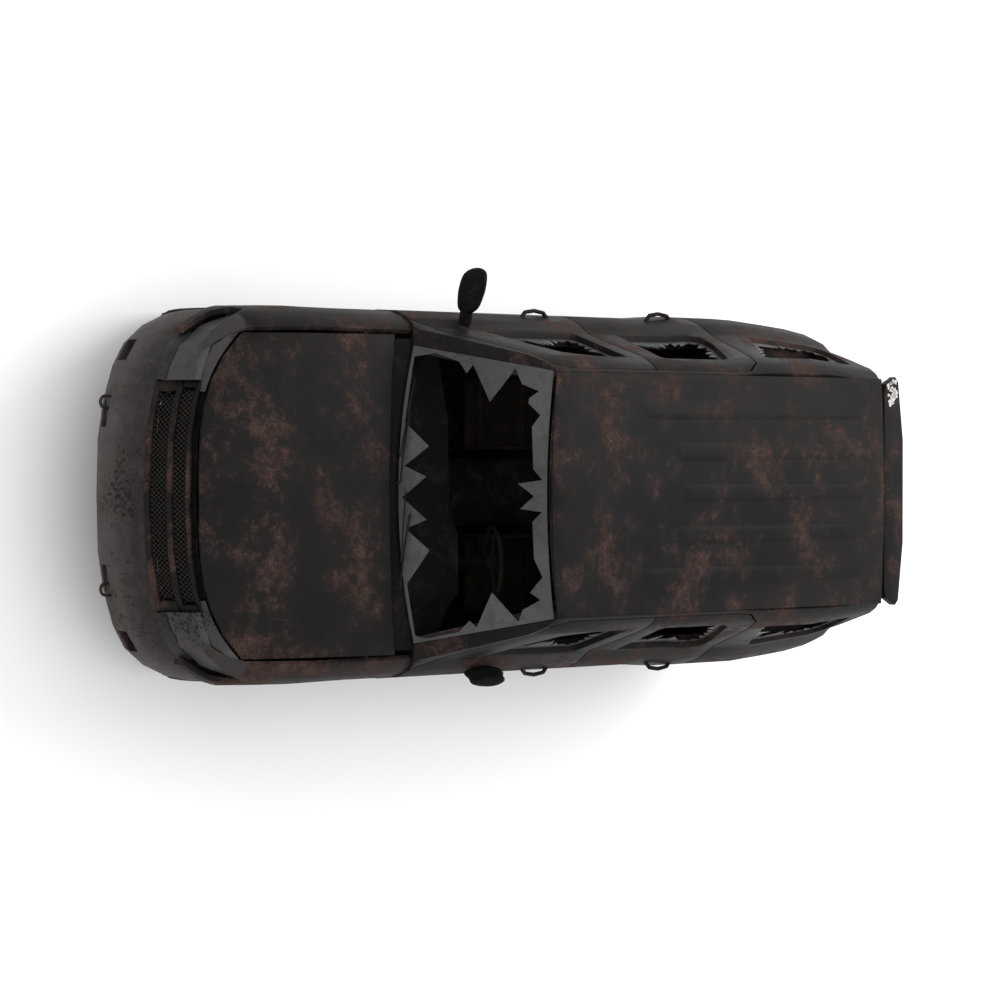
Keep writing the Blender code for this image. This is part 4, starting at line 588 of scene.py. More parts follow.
def bent_wires(lines, radius, sides=2, closed=False):
    """Round wires along lists of points, all in one mesh."""
    clean_start()
    curve = bpy.data.curves.new("wires", "CURVE")
    curve.dimensions = "3D"
    curve.bevel_depth = radius
    curve.bevel_resolution = sides
    curve.use_fill_caps = not closed
    for line in lines:
        spline = curve.splines.new("POLY")
        spline.points.add(len(line) - 1)
        for point, (x, y, z) in zip(spline.points, line):
            point.co = (x + CAR_X, y, z, 1.0)
        spline.use_cyclic_u = closed
    wires = bpy.data.objects.new("wires", curve)
    bpy.context.scene.collection.objects.link(wires)
    take_alone(wires)
    bpy.ops.object.convert(target="MESH")
    return bpy.context.object


def between(table, place):
    """Straight interpolation in a table of (place, value) rows."""
    if place <= table[0][0]:
        return table[0][1]
    for low, high in zip(table, table[1:]):
        if place <= high[0]:
            share = (place - low[0]) / (high[0] - low[0])
            return low[1] + share * (high[1] - low[1])
    return table[-1][1]


print("piece helpers ready")

# %% [markdown]
# ## Ragged side windows
#
# Side glass is tempered: it shatters all at once, and what is left is a jagged rim held
# by the rubber. The rim is a ring of points on the window's edge, extruded inwards once.
# Every second inner point stays short, which leaves teeth. They are longest at the sill,
# where the rubber grips best. A little thickness makes it glass.

# %% Ragged side windows
SIDE_SECTION = (
    (0.360, 0.905), (0.460, 0.962), (0.620, 0.992), (0.900, 1.004), (1.060, 0.990), (1.160, 0.950),
    (1.215, 0.908), (1.250, 0.885), (1.700, 0.750), (1.775, 0.712), (1.835, 0.658),
)
SIDE_PLAN = (
    (-1.020, 0.0), (0.900, 0.0), (1.150, -0.016), (1.650, -0.016), (1.900, 0.004), (2.120, 0.024),
    (2.300, 0.052), (2.480, 0.110),
)
WINDOWS = {
    # name: (body without its side, depth behind the skin, (Y, Z) outline)
    "front_window": ("front_door_", 0.036, (
        (-0.500, 1.245), (0.165, 1.245), (0.185, 1.270), (0.150, 1.700), (-0.100, 1.695),
        (-0.290, 1.630), (-0.410, 1.450))),
    "rear_window": ("rear_door_", 0.036, (
        (0.520, 1.245), (1.080, 1.245), (1.160, 1.290), (1.120, 1.420), (0.965, 1.690),
        (0.920, 1.705), (0.440, 1.705), (0.425, 1.680))),
    "quarter_window": (None, 0.030, (
        (1.600, 1.262), (2.180, 1.262), (2.215, 1.300), (2.010, 1.690), (1.980, 1.700),
        (1.300, 1.700), (1.275, 1.680), (1.570, 1.290))),
}
GLASS_THICKNESS = 0.005
RIM_POINTS = 54
RIM_AT_SILL = 0.120
RIM_LOSS = 0.085


def side_x(y, z):
    """How far the car's side stands from its middle plane."""
    return between(SIDE_SECTION, z) - between(SIDE_PLAN, y)


def walk_round(outline, count):
    """Points at even steps round a closed outline."""
    corners = [Vector(point) for point in outline]
    spans = [(corners[k] - corners[k - 1]).length for k in range(1, len(corners))]
    spans.append((corners[0] - corners[-1]).length)
    step = sum(spans) / count
    points = []
    for k in range(count):
        left = k * step
        edge = 0
        while left > spans[edge]:
            left -= spans[edge]
            edge += 1
        start = corners[edge]
        stop = corners[(edge + 1) % len(corners)]
        points.append(start.lerp(stop, left / spans[edge]))
    return points


def glass_rim(outline, depth, hand, seed):
    """A ring of teeth round one window; it gets narrower by RIM_LOSS towards the top."""
    draw = random.Random(seed)
    edge = walk_round(outline, RIM_POINTS)
    middle = sum(edge, Vector((0.0, 0.0))) / len(edge)
    top = max(point.y for point in edge)
    low = min(point.y for point in edge)
    inner = {}
    for k, point in enumerate(edge):
        rise = (point.y - low) / (top - low)
        reach = (RIM_AT_SILL - RIM_LOSS * rise) * draw.uniform(0.35, 1.25)
        if k % 2:
            reach *= draw.uniform(0.15, 0.5)
        away = middle - point
        inner[(round(point.x, 4), round(point.y, 4))] = point + away.normalized() * reach
    clean_start()
    bpy.ops.mesh.primitive_circle_add(vertices=len(edge), fill_type="NOTHING")
    rim = bpy.context.object
    for vert, point in zip(rim.data.vertices, edge):
        vert.co = (0.0, point.x, point.y)
    bpy.ops.object.mode_set(mode="EDIT")
    bpy.ops.mesh.select_all(action="SELECT")
    bpy.ops.mesh.extrude_edges_move()
    bpy.ops.object.mode_set(mode="OBJECT")
    for vert in rim.data.vertices:
        place = Vector((vert.co.y, vert.co.z))
        if vert.select:
            place = inner[(round(place.x, 4), round(place.y, 4))]
        x = side_x(place.x, place.y) - depth
        vert.co = (CAR_X + hand * x, place.x, place.y)
    face_outwards()
    return finish_with(rim, "SOLIDIFY", thickness=GLASS_THICKNESS, offset=0.0)


for number, (name, (body, depth, outline)) in enumerate(WINDOWS.items()):
    for side, hand in SIDES.items():
        rim = glass_rim(outline, depth, hand, 10 * number + hand)
        hand_over(rim, f"{name}_shards_{side}", ROOT if body is None else body + side,
                  smoked_glass, 20.0)
print("window rims:", 2 * len(WINDOWS))

# %% [markdown]
# ## Roof ribs
#
# Long shallow ribs are pressed into such a roof so that it doesn't drum. Each one is a
# fine grid laid on the roof's own curve. Its middle is lifted by a few millimetres and
# its border dips just under the skin, so the rib grows out of the roof without a seam.

# %% Roof ribs
ROOF_HALF = 0.656
ROOF_STATIONS = (
    # Y at the edge, bow at the centre, height at the edge, crown
    (-0.520, -0.075, 1.8365, 0.038), (-0.400, -0.050, 1.841, 0.045), (0.400, 0.0, 1.845, 0.045),
    (1.300, 0.0, 1.844, 0.045), (2.112, -0.020, 1.838, 0.039),
)
RIB_LIFT = 0.0055
RIB_SUNK = 0.0028
RIB_HALF = 0.052
RIB_END = 0.10
RIB_REAR = 1.93
RIBS = ((-0.46, 0.10), (-0.23, 0.36), (0.0, 0.40), (0.23, 0.36), (0.46, 0.10))


def roof_height(x, y):
    rise = 1.0 - (x / ROOF_HALF) ** 2
    rows = [(place + bow * rise, edge + crown * rise) for place, bow, edge, crown in ROOF_STATIONS]
    return between(rows, y)


def roof_rib(x, front):
    """One rib at x, from front to RIB_REAR; its border lies RIB_SUNK under the skin."""
    clean_start()
    length = RIB_REAR - front
    bpy.ops.mesh.primitive_grid_add(x_subdivisions=8, y_subdivisions=36, size=1.0)
    rib = bpy.context.object
    for vert in rib.data.vertices:
        across = vert.co.x * 2
        along = vert.co.y * 2
        place_x = x + across * RIB_HALF
        place_y = (front + RIB_REAR) / 2 + along * length / 2
        end = min(1.0, (1.0 - abs(along)) * length / RIB_END)
        lift = min(1.0, (1.0 - abs(across)) / 0.5) * end
        lift = lift * lift * (3 - 2 * lift)
        height = roof_height(place_x, place_y) - RIB_SUNK + (RIB_LIFT + 0.0010) * lift
        vert.co = (place_x + CAR_X, place_y, height)
    return rib


ribs = join_all([roof_rib(x, front) for x, front in RIBS])
hand_over(ribs, "roof_ribs", ROOT, burnt_paint, 60.0)
print("roof ribs:", len(RIBS))

# %% [markdown]
# ## Grille
#
# The real grille is a curved frame with two long openings filled by fine woven wire. The
# frame is five strips that follow the nose: three rails and the end caps between them.
# Each is a grid, bent to the nose in plan and leaned back with height, then thickened.
# The wire is two families of slanting wires, one a wire's width behind the other.

# %% Grille
NOSE_PLAN = ((0.000, -2.565), (0.300, -2.552), (0.500, -2.512), (0.606, -2.474))
GRILLE_LEAN = ((0.800, 0.084), (0.900, 0.120), (1.000, 0.168), (1.041, 0.192))
GRILLE_DEPTH = 0.032
GRILLE_FORWARD = 0.018
GRILLE_HALF = 0.600
GRILLE_RAILS = ((0.800, 0.832), (0.926, 0.954), (1.022, 1.041))
GRILLE_OPENINGS = ((0.545, 0.832, 0.926), (0.565, 0.954, 1.022))
WIRE_RADIUS = 0.0019
WIRE_PITCH = 0.026
WIRE_SETBACKS = ((1, 0.010), (-1, 0.0125))


def grille_y(x, z):
    """Where the grille's face is: the nose in plan, leaned back with height."""
    return between(NOSE_PLAN, abs(x)) + between(GRILLE_LEAN, z) - GRILLE_FORWARD


def grille_strip(low_x, high_x, low_z, high_z, columns):
    clean_start()
    bpy.ops.mesh.primitive_grid_add(x_subdivisions=columns, y_subdivisions=2, size=2.0)
    strip = bpy.context.object
    for vert in strip.data.vertices:
        x = low_x + (high_x - low_x) * (vert.co.x + 1) / 2
        z = low_z + (high_z - low_z) * (vert.co.y + 1) / 2
        vert.co = (x + CAR_X, grille_y(x, z), z)
    return finish_with(strip, "SOLIDIFY", thickness=GRILLE_DEPTH, offset=-1.0)


strips = [grille_strip(-GRILLE_HALF, GRILLE_HALF, low, high, 24) for low, high in GRILLE_RAILS]
for half, low, high in GRILLE_OPENINGS:
    strips.append(grille_strip(-GRILLE_HALF, -half, low, high, 2))
    strips.append(grille_strip(half, GRILLE_HALF, low, high, 2))
frame_piece = join_all(strips)
face_outwards(0.0002)
finish_with(frame_piece, "BEVEL", width=0.004, segments=2, limit_method="ANGLE")
hand_over(frame_piece, "grille_frame", ROOT, rusty_paint)
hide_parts("grille")


def grille_wires():
    lines = []
    for half, low, high in GRILLE_OPENINGS:
        rise = high - low
        count = int((2 * half + rise) / WIRE_PITCH)
        for k in range(count + 1):
            start = -half - rise + k * WIRE_PITCH
            for slope, setback in WIRE_SETBACKS:
                line = []
                for share in (0.0, 0.5, 1.0):
                    x = start + rise * share
                    z = low + rise * share if slope > 0 else high - rise * share
                    if abs(x) <= half + 0.004:
                        line.append((x, grille_y(x, z) + setback, z))
                if len(line) > 1:
                    lines.append(line)
    return lines


wire_lines = grille_wires()
hand_over(bent_wires(wire_lines, WIRE_RADIUS, 0), "grille_wires", ROOT, dull_steel)
print("grille wires:", len(wire_lines))

# %% [markdown]
# ## Wipers and tow hooks
#
# The wiper arms survived the fire as bare rods lying in the scuttle. Behind the bumper's
# inner slots hang two tow hooks. Bars and rods like these are easiest as bent wires: a
# list of points, and Blender's curve gives them their round section.

# %% Wipers and tow hooks
ARM_RADIUS = 0.0060
BLADE_RADIUS = 0.0040
BLADES = (
    ((-0.20, -1.135, 1.262), (-0.62, -1.035, 1.270)),
    ((0.36, -1.128, 1.262), (-0.02, -1.105, 1.275)),
)
HOOK_X = 0.49
HOOK_Z = 0.492
HOOK_HALF = 0.032
HOOK_ROOT_Y = -2.400
HOOK_BEND_Y = -2.512
HOOK_BEND = 0.030
HOOK_RADIUS = 0.0085


def wiper(pivot_x, tip_x):
    middle = (pivot_x + tip_x) / 2
    return [(pivot_x, -1.150, 1.228), (pivot_x + 0.02 * (tip_x > pivot_x) - 0.01, -1.130, 1.262),
            (middle, -1.112, 1.268), (tip_x, -1.080, 1.282)]


arms = bent_wires([wiper(-0.06, -0.44), wiper(0.50, 0.10)], ARM_RADIUS)
wipers = join_all([arms, bent_wires(BLADES, BLADE_RADIUS)])
hand_over(wipers, "wiper_arms", ROOT, frame_black)


def hook(x):
    """One rod forwards, round a half turn and back."""
    turns = [math.radians(angle) for angle in range(-90, 91, 30)]
    loop = [(x + HOOK_HALF * math.cos(t + math.pi / 2), HOOK_BEND_Y - HOOK_BEND * math.cos(t), HOOK_Z)
            for t in turns]
    return ([(x - HOOK_HALF, HOOK_ROOT_Y, HOOK_Z)] + loop[::-1]
            + [(x + HOOK_HALF, HOOK_ROOT_Y, HOOK_Z)])


hooks = bent_wires([hook(-HOOK_X), hook(HOOK_X)], HOOK_RADIUS, 3)
hand_over(hooks, "tow_hooks", ROOT, dull_steel)
print("wipers and hooks done")

# %% [markdown]
# ## Mirrors
#
# The right mirror still stands: a broad paddle on a short thick arm, its outer end
# tipped up. A cube with a subdivision surface gives its soft corners, and its points are
# then leaned. The left mirror melted down against the door: a rough ball, dented by
# random pushes with a fixed seed so that it comes out the same on every run.

# %% Mirrors
PADDLE_MIDDLE = (1.104, -0.600, 1.252)
PADDLE_HALF = 0.130
PADDLE_TIP = 0.030
MIRROR_ARM = ((-0.925, -0.598, 1.190), (-0.985, -0.600, 1.205), (-1.060, -0.600, 1.235))
MIRROR_ARM_RADIUS = 0.036
LUMP_MIDDLE = (1.008, -0.440, 1.200)
LUMP_HALVES = (0.050, 0.125, 0.080)
LUMP_SLUMP = 0.03
LUMP_PUSHES = 26
LUMP_SEED = 7


def paddle():
    clean_start()
    bpy.ops.mesh.primitive_cube_add(size=2.0)
    shell = bpy.context.object
    bpy.ops.object.mode_set(mode="EDIT")
    bpy.ops.mesh.select_all(action="SELECT")
    bpy.ops.mesh.bevel(offset=0.45, segments=1, affect="EDGES")
    bpy.ops.object.mode_set(mode="OBJECT")
    finish_with(shell, "SUBSURF", levels=3, render_levels=3)
    for vert in shell.data.vertices:
        out, back, up = vert.co
        thin = 0.038 - 0.006 * up
        narrow = 0.100 - 0.020 * max(0.0, -out)
        x = PADDLE_MIDDLE[0] + PADDLE_HALF * out
        y = PADDLE_MIDDLE[1] + thin * back + 0.008 * out
        z = PADDLE_MIDDLE[2] + narrow * up + PADDLE_TIP * out
        vert.co = (CAR_X - x, y, z)
    face_outwards()
    return shell


mirror_arm = bent_wires([MIRROR_ARM], MIRROR_ARM_RADIUS, 4)
right_mirror = join_all([paddle(), mirror_arm])
hand_over(right_mirror, "mirror_paddle_R", "front_door_R", soot, 50.0)
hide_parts("mirror_R")


def melted_lump():
    draw = random.Random(LUMP_SEED)
    clean_start()
    bpy.ops.mesh.primitive_ico_sphere_add(subdivisions=3, radius=1.0)
    lump = bpy.context.object
    pushes = [(Vector([draw.uniform(-1, 1) for _ in range(3)]).normalized(), draw.uniform(-0.35, 0.30))
              for _ in range(LUMP_PUSHES)]
    for vert in lump.data.vertices:
        direction = vert.co.normalized()
        push = sum(amount * max(0.0, direction.dot(way)) ** 7 for way, amount in pushes)
        place = direction * (1.0 + push)
        x, y, z = [middle + half * way for middle, half, way in zip(LUMP_MIDDLE, LUMP_HALVES, place)]
        vert.co = (CAR_X + x, y + LUMP_SLUMP * place.z, z)
    return lump


lump = melted_lump()
hand_over(lump, "mirror_lump_L", "front_door_L", soot, 40.0)
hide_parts("mirror_L")
print("mirrors done")

# %% [markdown]
# ## Panels that close the nose
#
# On the real car the lamp runs up to the edge of the hood, and the bumper runs up to the
# lamp. So two narrow strips close those steps on each side. Each is a grid whose rows
# follow lines that are already there: the edge of the hood, the back of the lamp and its
# lower edge. The upper strip dips under the hood, which leaves only a thin dark seam, and
# the hood can still open.

# %% Panels that close the nose
HOOD_NOSE_Y = -2.352
HOOD_SWEEP = 0.290
HOOD_HALF = 0.858
HOOD_CURVE = 3.5
HOOD_EDGE_X = (0.540, 0.600, 0.650, 0.700, 0.750, 0.800, 0.850)
LAMP_BACK = (
    (0.540, -2.310, 1.036), (0.600, -2.299, 1.035), (0.657, -2.282, 1.035), (0.717, -2.262, 1.035),
    (0.778, -2.235, 1.044), (0.824, -2.165, 1.062), (0.868, -2.078, 1.082),
)
LAMP_FOOT = (
    (0.600, -2.404, 0.862), (0.669, -2.384, 0.866), (0.752, -2.340, 0.873), (0.800, -2.306, 0.879),
    (0.850, -2.250, 0.886),
)
APRON_LOW_Z = 0.797
SEAM_GAP = 0.006
SEAM_TUCK = -0.014
SEAM_TOP_Z = 1.063
SEAM_LOW_Z = 1.039


def hood_edge(x, outwards):
    """A point beside the front edge of the hood, pushed away from it."""
    share = x / HOOD_HALF
    place = Vector((x, HOOD_NOSE_Y + HOOD_SWEEP * share ** HOOD_CURVE))
    slope = HOOD_CURVE * HOOD_SWEEP / HOOD_HALF * share ** (HOOD_CURVE - 1.0)
    away = Vector((slope, -1.0)).normalized()
    return place + away * outwards


def lay_rows(rows, name):
    """A sheet through rows of points."""
    clean_start()
    columns_between = len(rows[0]) - 1
    rows_between = len(rows) - 1
    bpy.ops.mesh.primitive_grid_add(x_subdivisions=columns_between, y_subdivisions=rows_between, size=2.0)
    sheet = bpy.context.object
    sheet.name = name
    for vert in sheet.data.vertices:
        column = round((vert.co.x + 1) / 2 * columns_between)
        row = round((vert.co.y + 1) / 2 * rows_between)
        x, y, z = rows[row][column]
        vert.co = (x + CAR_X, y, z)
    face_outwards()
    return sheet


def sided(rows, hand):
    return [[(hand * x, y, z) for x, y, z in row] for row in rows]


def seam_row(outwards, z):
    """A row of points along the hood's edge, at one height."""
    places = [hood_edge(x, outwards) for x in HOOD_EDGE_X]
    return [(place.x, place.y, z) for place in places]


lamp_top_rows = [LAMP_BACK, seam_row(SEAM_GAP, SEAM_TOP_Z), seam_row(SEAM_GAP, SEAM_LOW_Z),
                 seam_row(SEAM_TUCK, SEAM_LOW_Z)]
apron_low = [(x + 0.004, y - 0.012, APRON_LOW_Z) for x, y, z in LAMP_FOOT]
apron_middle = [((a[0] + b[0]) / 2 + 0.003, (a[1] + b[1]) / 2 - 0.005, (a[2] + b[2]) / 2)
                for a, b in zip(LAMP_FOOT, apron_low)]
apron_rows = [LAMP_FOOT, apron_middle, apron_low]
NOSE_PANELS = (
    # name, rows, thickness, finish
    ("lamp_top", lamp_top_rows, 0.003, burnt_lens),
    ("lamp_apron", apron_rows, 0.004, bumper_ash),
)
for side, hand in SIDES.items():
    for name, rows, thickness, finish in NOSE_PANELS:
        panel = lay_rows(sided(rows, hand), name)
        finish_with(panel, "SOLIDIFY", thickness=thickness, offset=0.0)
        hand_over(panel, f"{name}_{side}", ROOT, finish, 50.0)
print("nose panels:", len(NOSE_PANELS) * len(SIDES))

# %% [markdown]
# ## Dark liners
#
# Daylight shouldn't shine through a grille, through the slots of a bumper or under the
# edge of a roof. Real cars have ducts and inner rails there. These are plain strips that
# follow the nose and the roof at a small distance inside, thickened and left in soot. The
# housings over the front wheels are made the same way: their rows run along an arc.

# %% Dark liners
NOSE_PLAN_WIDE = NOSE_PLAN + ((0.700, -2.436), (0.820, -2.352), (0.915, -2.220))
RAIL_LOW_Z = 1.772
HEADER_Y = 2.082
HEADER_LOW_Z = 1.760
UNDER_ROOF = 0.010
HOUSING_RADIUS = 0.487
HOUSING_LIP = 0.400
HOUSING_Z = 0.420
HOUSING_INNER_X = 0.500
HOUSING_OUTER_X = 0.930
HOUSING_ANGLES = [math.radians(-14 + 208 * k / 28) for k in range(29)]


def nose_line(reach, setback, z):
    """A row of points behind the nose, from one side to the other."""
    places = [reach * k / 8 for k in range(-8, 9)]
    return [(x, between(NOSE_PLAN_WIDE, abs(x)) + setback, z) for x in places]


def housing_arc(x, radius):
    return [(x, FRONT_AXLE_Y + radius * math.cos(t), HOUSING_Z + radius * math.sin(t))
            for t in HOUSING_ANGLES]


def roof_liners():
    stations = [-0.40 + 0.31 * k for k in range(9)]
    upper = [(0.638, y, roof_height(0.638, y) - UNDER_ROOF) for y in stations]
    lower = [(0.646, y, RAIL_LOW_Z) for y in stations]
    across = [0.630 * k / 6 for k in range(-6, 7)]
    header = [[(x, HEADER_Y, roof_height(x, 2.08) - UNDER_ROOF) for x in across],
              [(x, HEADER_Y, HEADER_LOW_Z) for x in across]]
    rails = [lay_rows(sided([upper, lower], hand), "roof_rail") for hand in SIDES.values()]
    return rails + [lay_rows(header, "roof_header")]


def wheel_housing(hand):
    arch = [housing_arc(HOUSING_INNER_X, HOUSING_RADIUS), housing_arc(HOUSING_OUTER_X, HOUSING_RADIUS)]
    wall_x = HOUSING_INNER_X + 0.002
    wall = [housing_arc(wall_x, HOUSING_LIP), housing_arc(wall_x, HOUSING_RADIUS)]
    return [lay_rows(sided(arch, hand), "wheel_housing"), lay_rows(sided(wall, hand), "housing_wall")]


strips = [
    lay_rows([nose_line(0.598, 0.135, 0.802), nose_line(0.598, 0.230, 1.034)], "grille_duct"),
    lay_rows([nose_line(0.860, 0.150, 0.440), nose_line(0.860, 0.170, 0.620)], "slot_duct"),
]
strips += roof_liners()
for hand in SIDES.values():
    strips += wheel_housing(hand)
print("liner strips:", len(strips))
liners = join_all(strips)
finish_with(liners, "SOLIDIFY", thickness=0.002, offset=0.0)
hand_over(liners, "dark_liners", ROOT, soot, 50.0)

# %% [markdown]
# ## Tyres with blocks
#
# The tyre's body is half an outline mirrored into a closed loop and spun once round the
# axle. The tread is four rows of blocks. One block is a cube with its edges bevelled,
# and Blender's spin tool repeats it forty times round the same axle. Every second row
# starts half a step later, so the grooves run zigzag.

# %% Tyres
TYRE_HALF_OUTLINE = (
    # radius, distance from the tyre's middle plane
    (0.3920, 0.000), (0.3910, 0.078), (0.3760, 0.112), (0.3560, 0.126), (0.3240, 0.1325),
    (0.2900, 0.1290), (0.2620, 0.1245), (0.2360, 0.100), (0.2223, 0.095),
)
TYRE_STEPS = 72
BLOCKS = 40
BLOCK_TOP = 0.4012
BLOCK_LENGTH = 0.046
BLOCK_DEPTH = 0.016
BLOCK_ROWS = (
    # distance from the tyre's middle plane, width, share of a step that the row starts later
    (-0.086, 0.052, 0.0), (-0.029, 0.044, 0.5), (0.029, 0.044, 0.0), (0.086, 0.052, 0.5),
)
SHOULDER_FROM = 0.098
SHOULDER_SLOPE = 1.1
AXLE_Z = 0.402
AXLES = (("front", 0.867, FRONT_AXLE_Y), ("rear", 0.856, REAR_AXLE_Y))
NUTS = 6
NUT_CIRCLE = 0.058
NUT_RADIUS = 0.012
HUB_RADIUS = 0.031
TRIM_DEPTH = 0.016


def spin_round(centre, angle, steps, repeats):
    """Spin the active piece round an axle, as one skin or as separate repeats."""
    bpy.ops.object.mode_set(mode="EDIT")
    bpy.ops.mesh.select_all(action="SELECT")
    bpy.ops.mesh.spin(steps=steps, angle=angle, dupli=repeats, center=centre, axis=(1.0, 0.0, 0.0))
    bpy.ops.object.mode_set(mode="OBJECT")
    face_outwards(0.0 if repeats else 0.0001)


def tyre_body(x, y):
    outline = list(TYRE_HALF_OUTLINE) + [(r, -w) for r, w in reversed(TYRE_HALF_OUTLINE[1:])]
    clean_start()
    bpy.ops.mesh.primitive_circle_add(vertices=len(outline), fill_type="NOTHING")
    body = bpy.context.object
    for vert, (radius, out) in zip(body.data.vertices, outline):
        vert.co = (x + CAR_X + out, y, AXLE_Z + radius)
    spin_round((x + CAR_X, y, AXLE_Z), 2 * math.pi, TYRE_STEPS, False)
    return body


def block_row(x, y, out, width, shift):
    clean_start()
    bpy.ops.mesh.primitive_cube_add(size=1.0)
    block = bpy.context.object
    block.scale = (width, BLOCK_LENGTH, BLOCK_DEPTH)
    block.location = (x + CAR_X + out, y, AXLE_Z + BLOCK_TOP - BLOCK_DEPTH / 2)
    bpy.ops.object.transform_apply(location=True, rotation=False, scale=True)
    finish_with(block, "BEVEL", width=0.003, segments=1)
    for vert in block.data.vertices:
        beyond = abs(vert.co.x - x - CAR_X) - SHOULDER_FROM
        if beyond > 0:
            vert.co.z -= beyond * SHOULDER_SLOPE
    block.matrix_world = (Matrix.Translation((0.0, y, AXLE_Z))
                          @ Matrix.Rotation(shift * 2 * math.pi / BLOCKS, 4, "X")
                          @ Matrix.Translation((0.0, -y, -AXLE_Z)))
    bpy.ops.object.transform_apply(location=True, rotation=True, scale=True)
    turn = 2 * math.pi * (BLOCKS - 1) / BLOCKS
    spin_round((x + CAR_X, y, AXLE_Z), turn, BLOCKS - 1, True)
    return block


def trim_cylinder(vertices, radius, x, y, z):
    clean_start()
    bpy.ops.mesh.primitive_cylinder_add(vertices=vertices, radius=radius, depth=TRIM_DEPTH,
                                        location=(x + CAR_X, y, z), rotation=(0.0, math.pi / 2, 0.0))
    return bpy.context.object


def wheel_trim(x, y):
    """The wheel nuts and a hub cap, on the outer side of the wheel."""
    hand = 1 if x > 0 else -1
    pieces = []
    for k in range(NUTS):
        angle = math.radians(360 / NUTS * k + 30)
        pieces.append(trim_cylinder(6, NUT_RADIUS, x + hand * 0.066, y + NUT_CIRCLE * math.sin(angle),
                                    AXLE_Z + NUT_CIRCLE * math.cos(angle)))
    pieces.append(trim_cylinder(24, HUB_RADIUS, x + hand * 0.067, y, AXLE_Z))
    return finish_with(join_all(pieces), "BEVEL", width=0.0025, segments=2, limit_method="ANGLE")


for end, wheel_x, y in AXLES:
    for side, hand in SIDES.items():
        x = hand * wheel_x
        node = f"{end}_tyre_{side}"
        body = f"{end}_wheel_{side}"
        rows = [block_row(x, y, out, width, shift) for out, width, shift in BLOCK_ROWS]
        tyre = join_all([tyre_body(x, y)] + rows)
        hand_over(tyre, node + "_treaded", body, charred_rubber, 35.0)
        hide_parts(node)
        hand_over(wheel_trim(x, y), f"{end}_wheel_nuts_{side}", body, dull_steel)
print("blocks on each tyre:", BLOCKS * len(BLOCK_ROWS))

# %% [markdown]
# ## Springs and dampers
#
# Each wheel is carried by a coil spring. A coil is one wire along a helix. At the front
# it stands on a plate on the lower arm and reaches a small tower on the frame, with the
# damper inside it. At the rear the dampers lean beside the springs.

# %% Springs and dampers
FRONT_SPRING_X = 0.615
REAR_SPRING_X = 0.600
SPRING_WIRE = 0.007
DAMPER_RADIUS = 0.020
POINTS_A_TURN = 16


def coil(x, y, low, high, radius, turns):
    count = turns * POINTS_A_TURN
    line = []
    for k in range(count + 1):
        angle = 2 * math.pi * k / POINTS_A_TURN
        line.append((x + radius * math.cos(angle), y + radius * math.sin(angle),
                     low + (high - low) * k / count))
    return line


def disc(x, y, z, radius, height):
    clean_start()
    bpy.ops.mesh.primitive_cylinder_add(vertices=28, radius=radius, depth=height,
                                        location=(x + CAR_X, y, z + height / 2))
    return finish_with(bpy.context.object, "BEVEL", width=0.002, segments=2, limit_method="ANGLE")


def damper_lines(hand):
    """The front damper stands upright in its spring, and the rear one leans beside it."""
    x = hand * FRONT_SPRING_X
    return [[(x, FRONT_AXLE_Y, 0.290), (x, FRONT_AXLE_Y, 0.730)],
            [(hand * 0.52, 1.47, 0.37), (hand * 0.50, 1.62, 0.61)]]


def spring_seats(hand):
    """Two round plates and a tower in front, and a plate under the frame at the rear."""
    x = hand * FRONT_SPRING_X
    front = FRONT_AXLE_Y - 0.060
    rear = FRONT_AXLE_Y + 0.060
    return [
        disc(x, FRONT_AXLE_Y, 0.285, 0.068, 0.015),
        disc(x, FRONT_AXLE_Y, 0.720, 0.066, 0.034),
        bar((hand * 0.415, front, 0.555), (hand * 0.475, rear, 0.758)),
        bar((hand * 0.450, front, 0.744), (hand * 0.660, rear, 0.758)),
        bar((hand * 0.530, REAR_AXLE_Y - 0.070, 0.606), (hand * 0.670, REAR_AXLE_Y + 0.070, 0.622)),
    ]


coil_lines = []
carrier_lines = []
for hand in SIDES.values():
    coil_lines.append(coil(hand * FRONT_SPRING_X, FRONT_AXLE_Y, 0.302, 0.720, 0.055, 7))
    coil_lines.append(coil(hand * REAR_SPRING_X, REAR_AXLE_Y, 0.395, 0.612, 0.050, 4))
    carrier_lines += damper_lines(hand)
coils = bent_wires(coil_lines, SPRING_WIRE)
hand_over(coils, "coil_springs", ROOT, rusty_wire, 50.0)
carriers = [bent_wires(carrier_lines, DAMPER_RADIUS, 4)]
for hand in SIDES.values():
    carriers += spring_seats(hand)
hand_over(join_all(carriers), "dampers_and_towers", ROOT, dull_steel)
print("springs:", len(coil_lines))

# %% [markdown]
# ## Burnt seats
#
# Fire takes the foam and the cloth and leaves the skeleton: a tube frame, a thin pan, and
# rows of zigzag springs. Tubes and springs are bent wires with two thicknesses. The same
# recipe makes the bench in the rear, only wider.

# %% Burnt seats
TUBE_RADIUS = 0.0115
SPRING_RADIUS = 0.0030
PAN_Z = (0.004, 0.010)
BACK_SPRINGS = 7
SEAT_X = 0.46
SEAT = {"half": 0.208, "front": -0.128, "rear": 0.350, "low": 0.673, "top": 0.812,
        "back": (0.515, 1.340), "head": 1.498, "rows": 8}
BENCH = {"half": 0.607, "front": 0.992, "rear": 1.400, "low": 0.634, "top": 0.832,
         "back": (1.560, 1.378), "head": None, "rows": 20}


def zigzag(start, stop, sway, count):
    """Points from start to stop that sway to both sides."""
    start = Vector(start)
    stop = Vector(stop)
    sway = Vector(sway)
    return [tuple(start.lerp(stop, k / count) + sway * (0, 1, 0, -1)[k % 4]) for k in range(count + 1)]


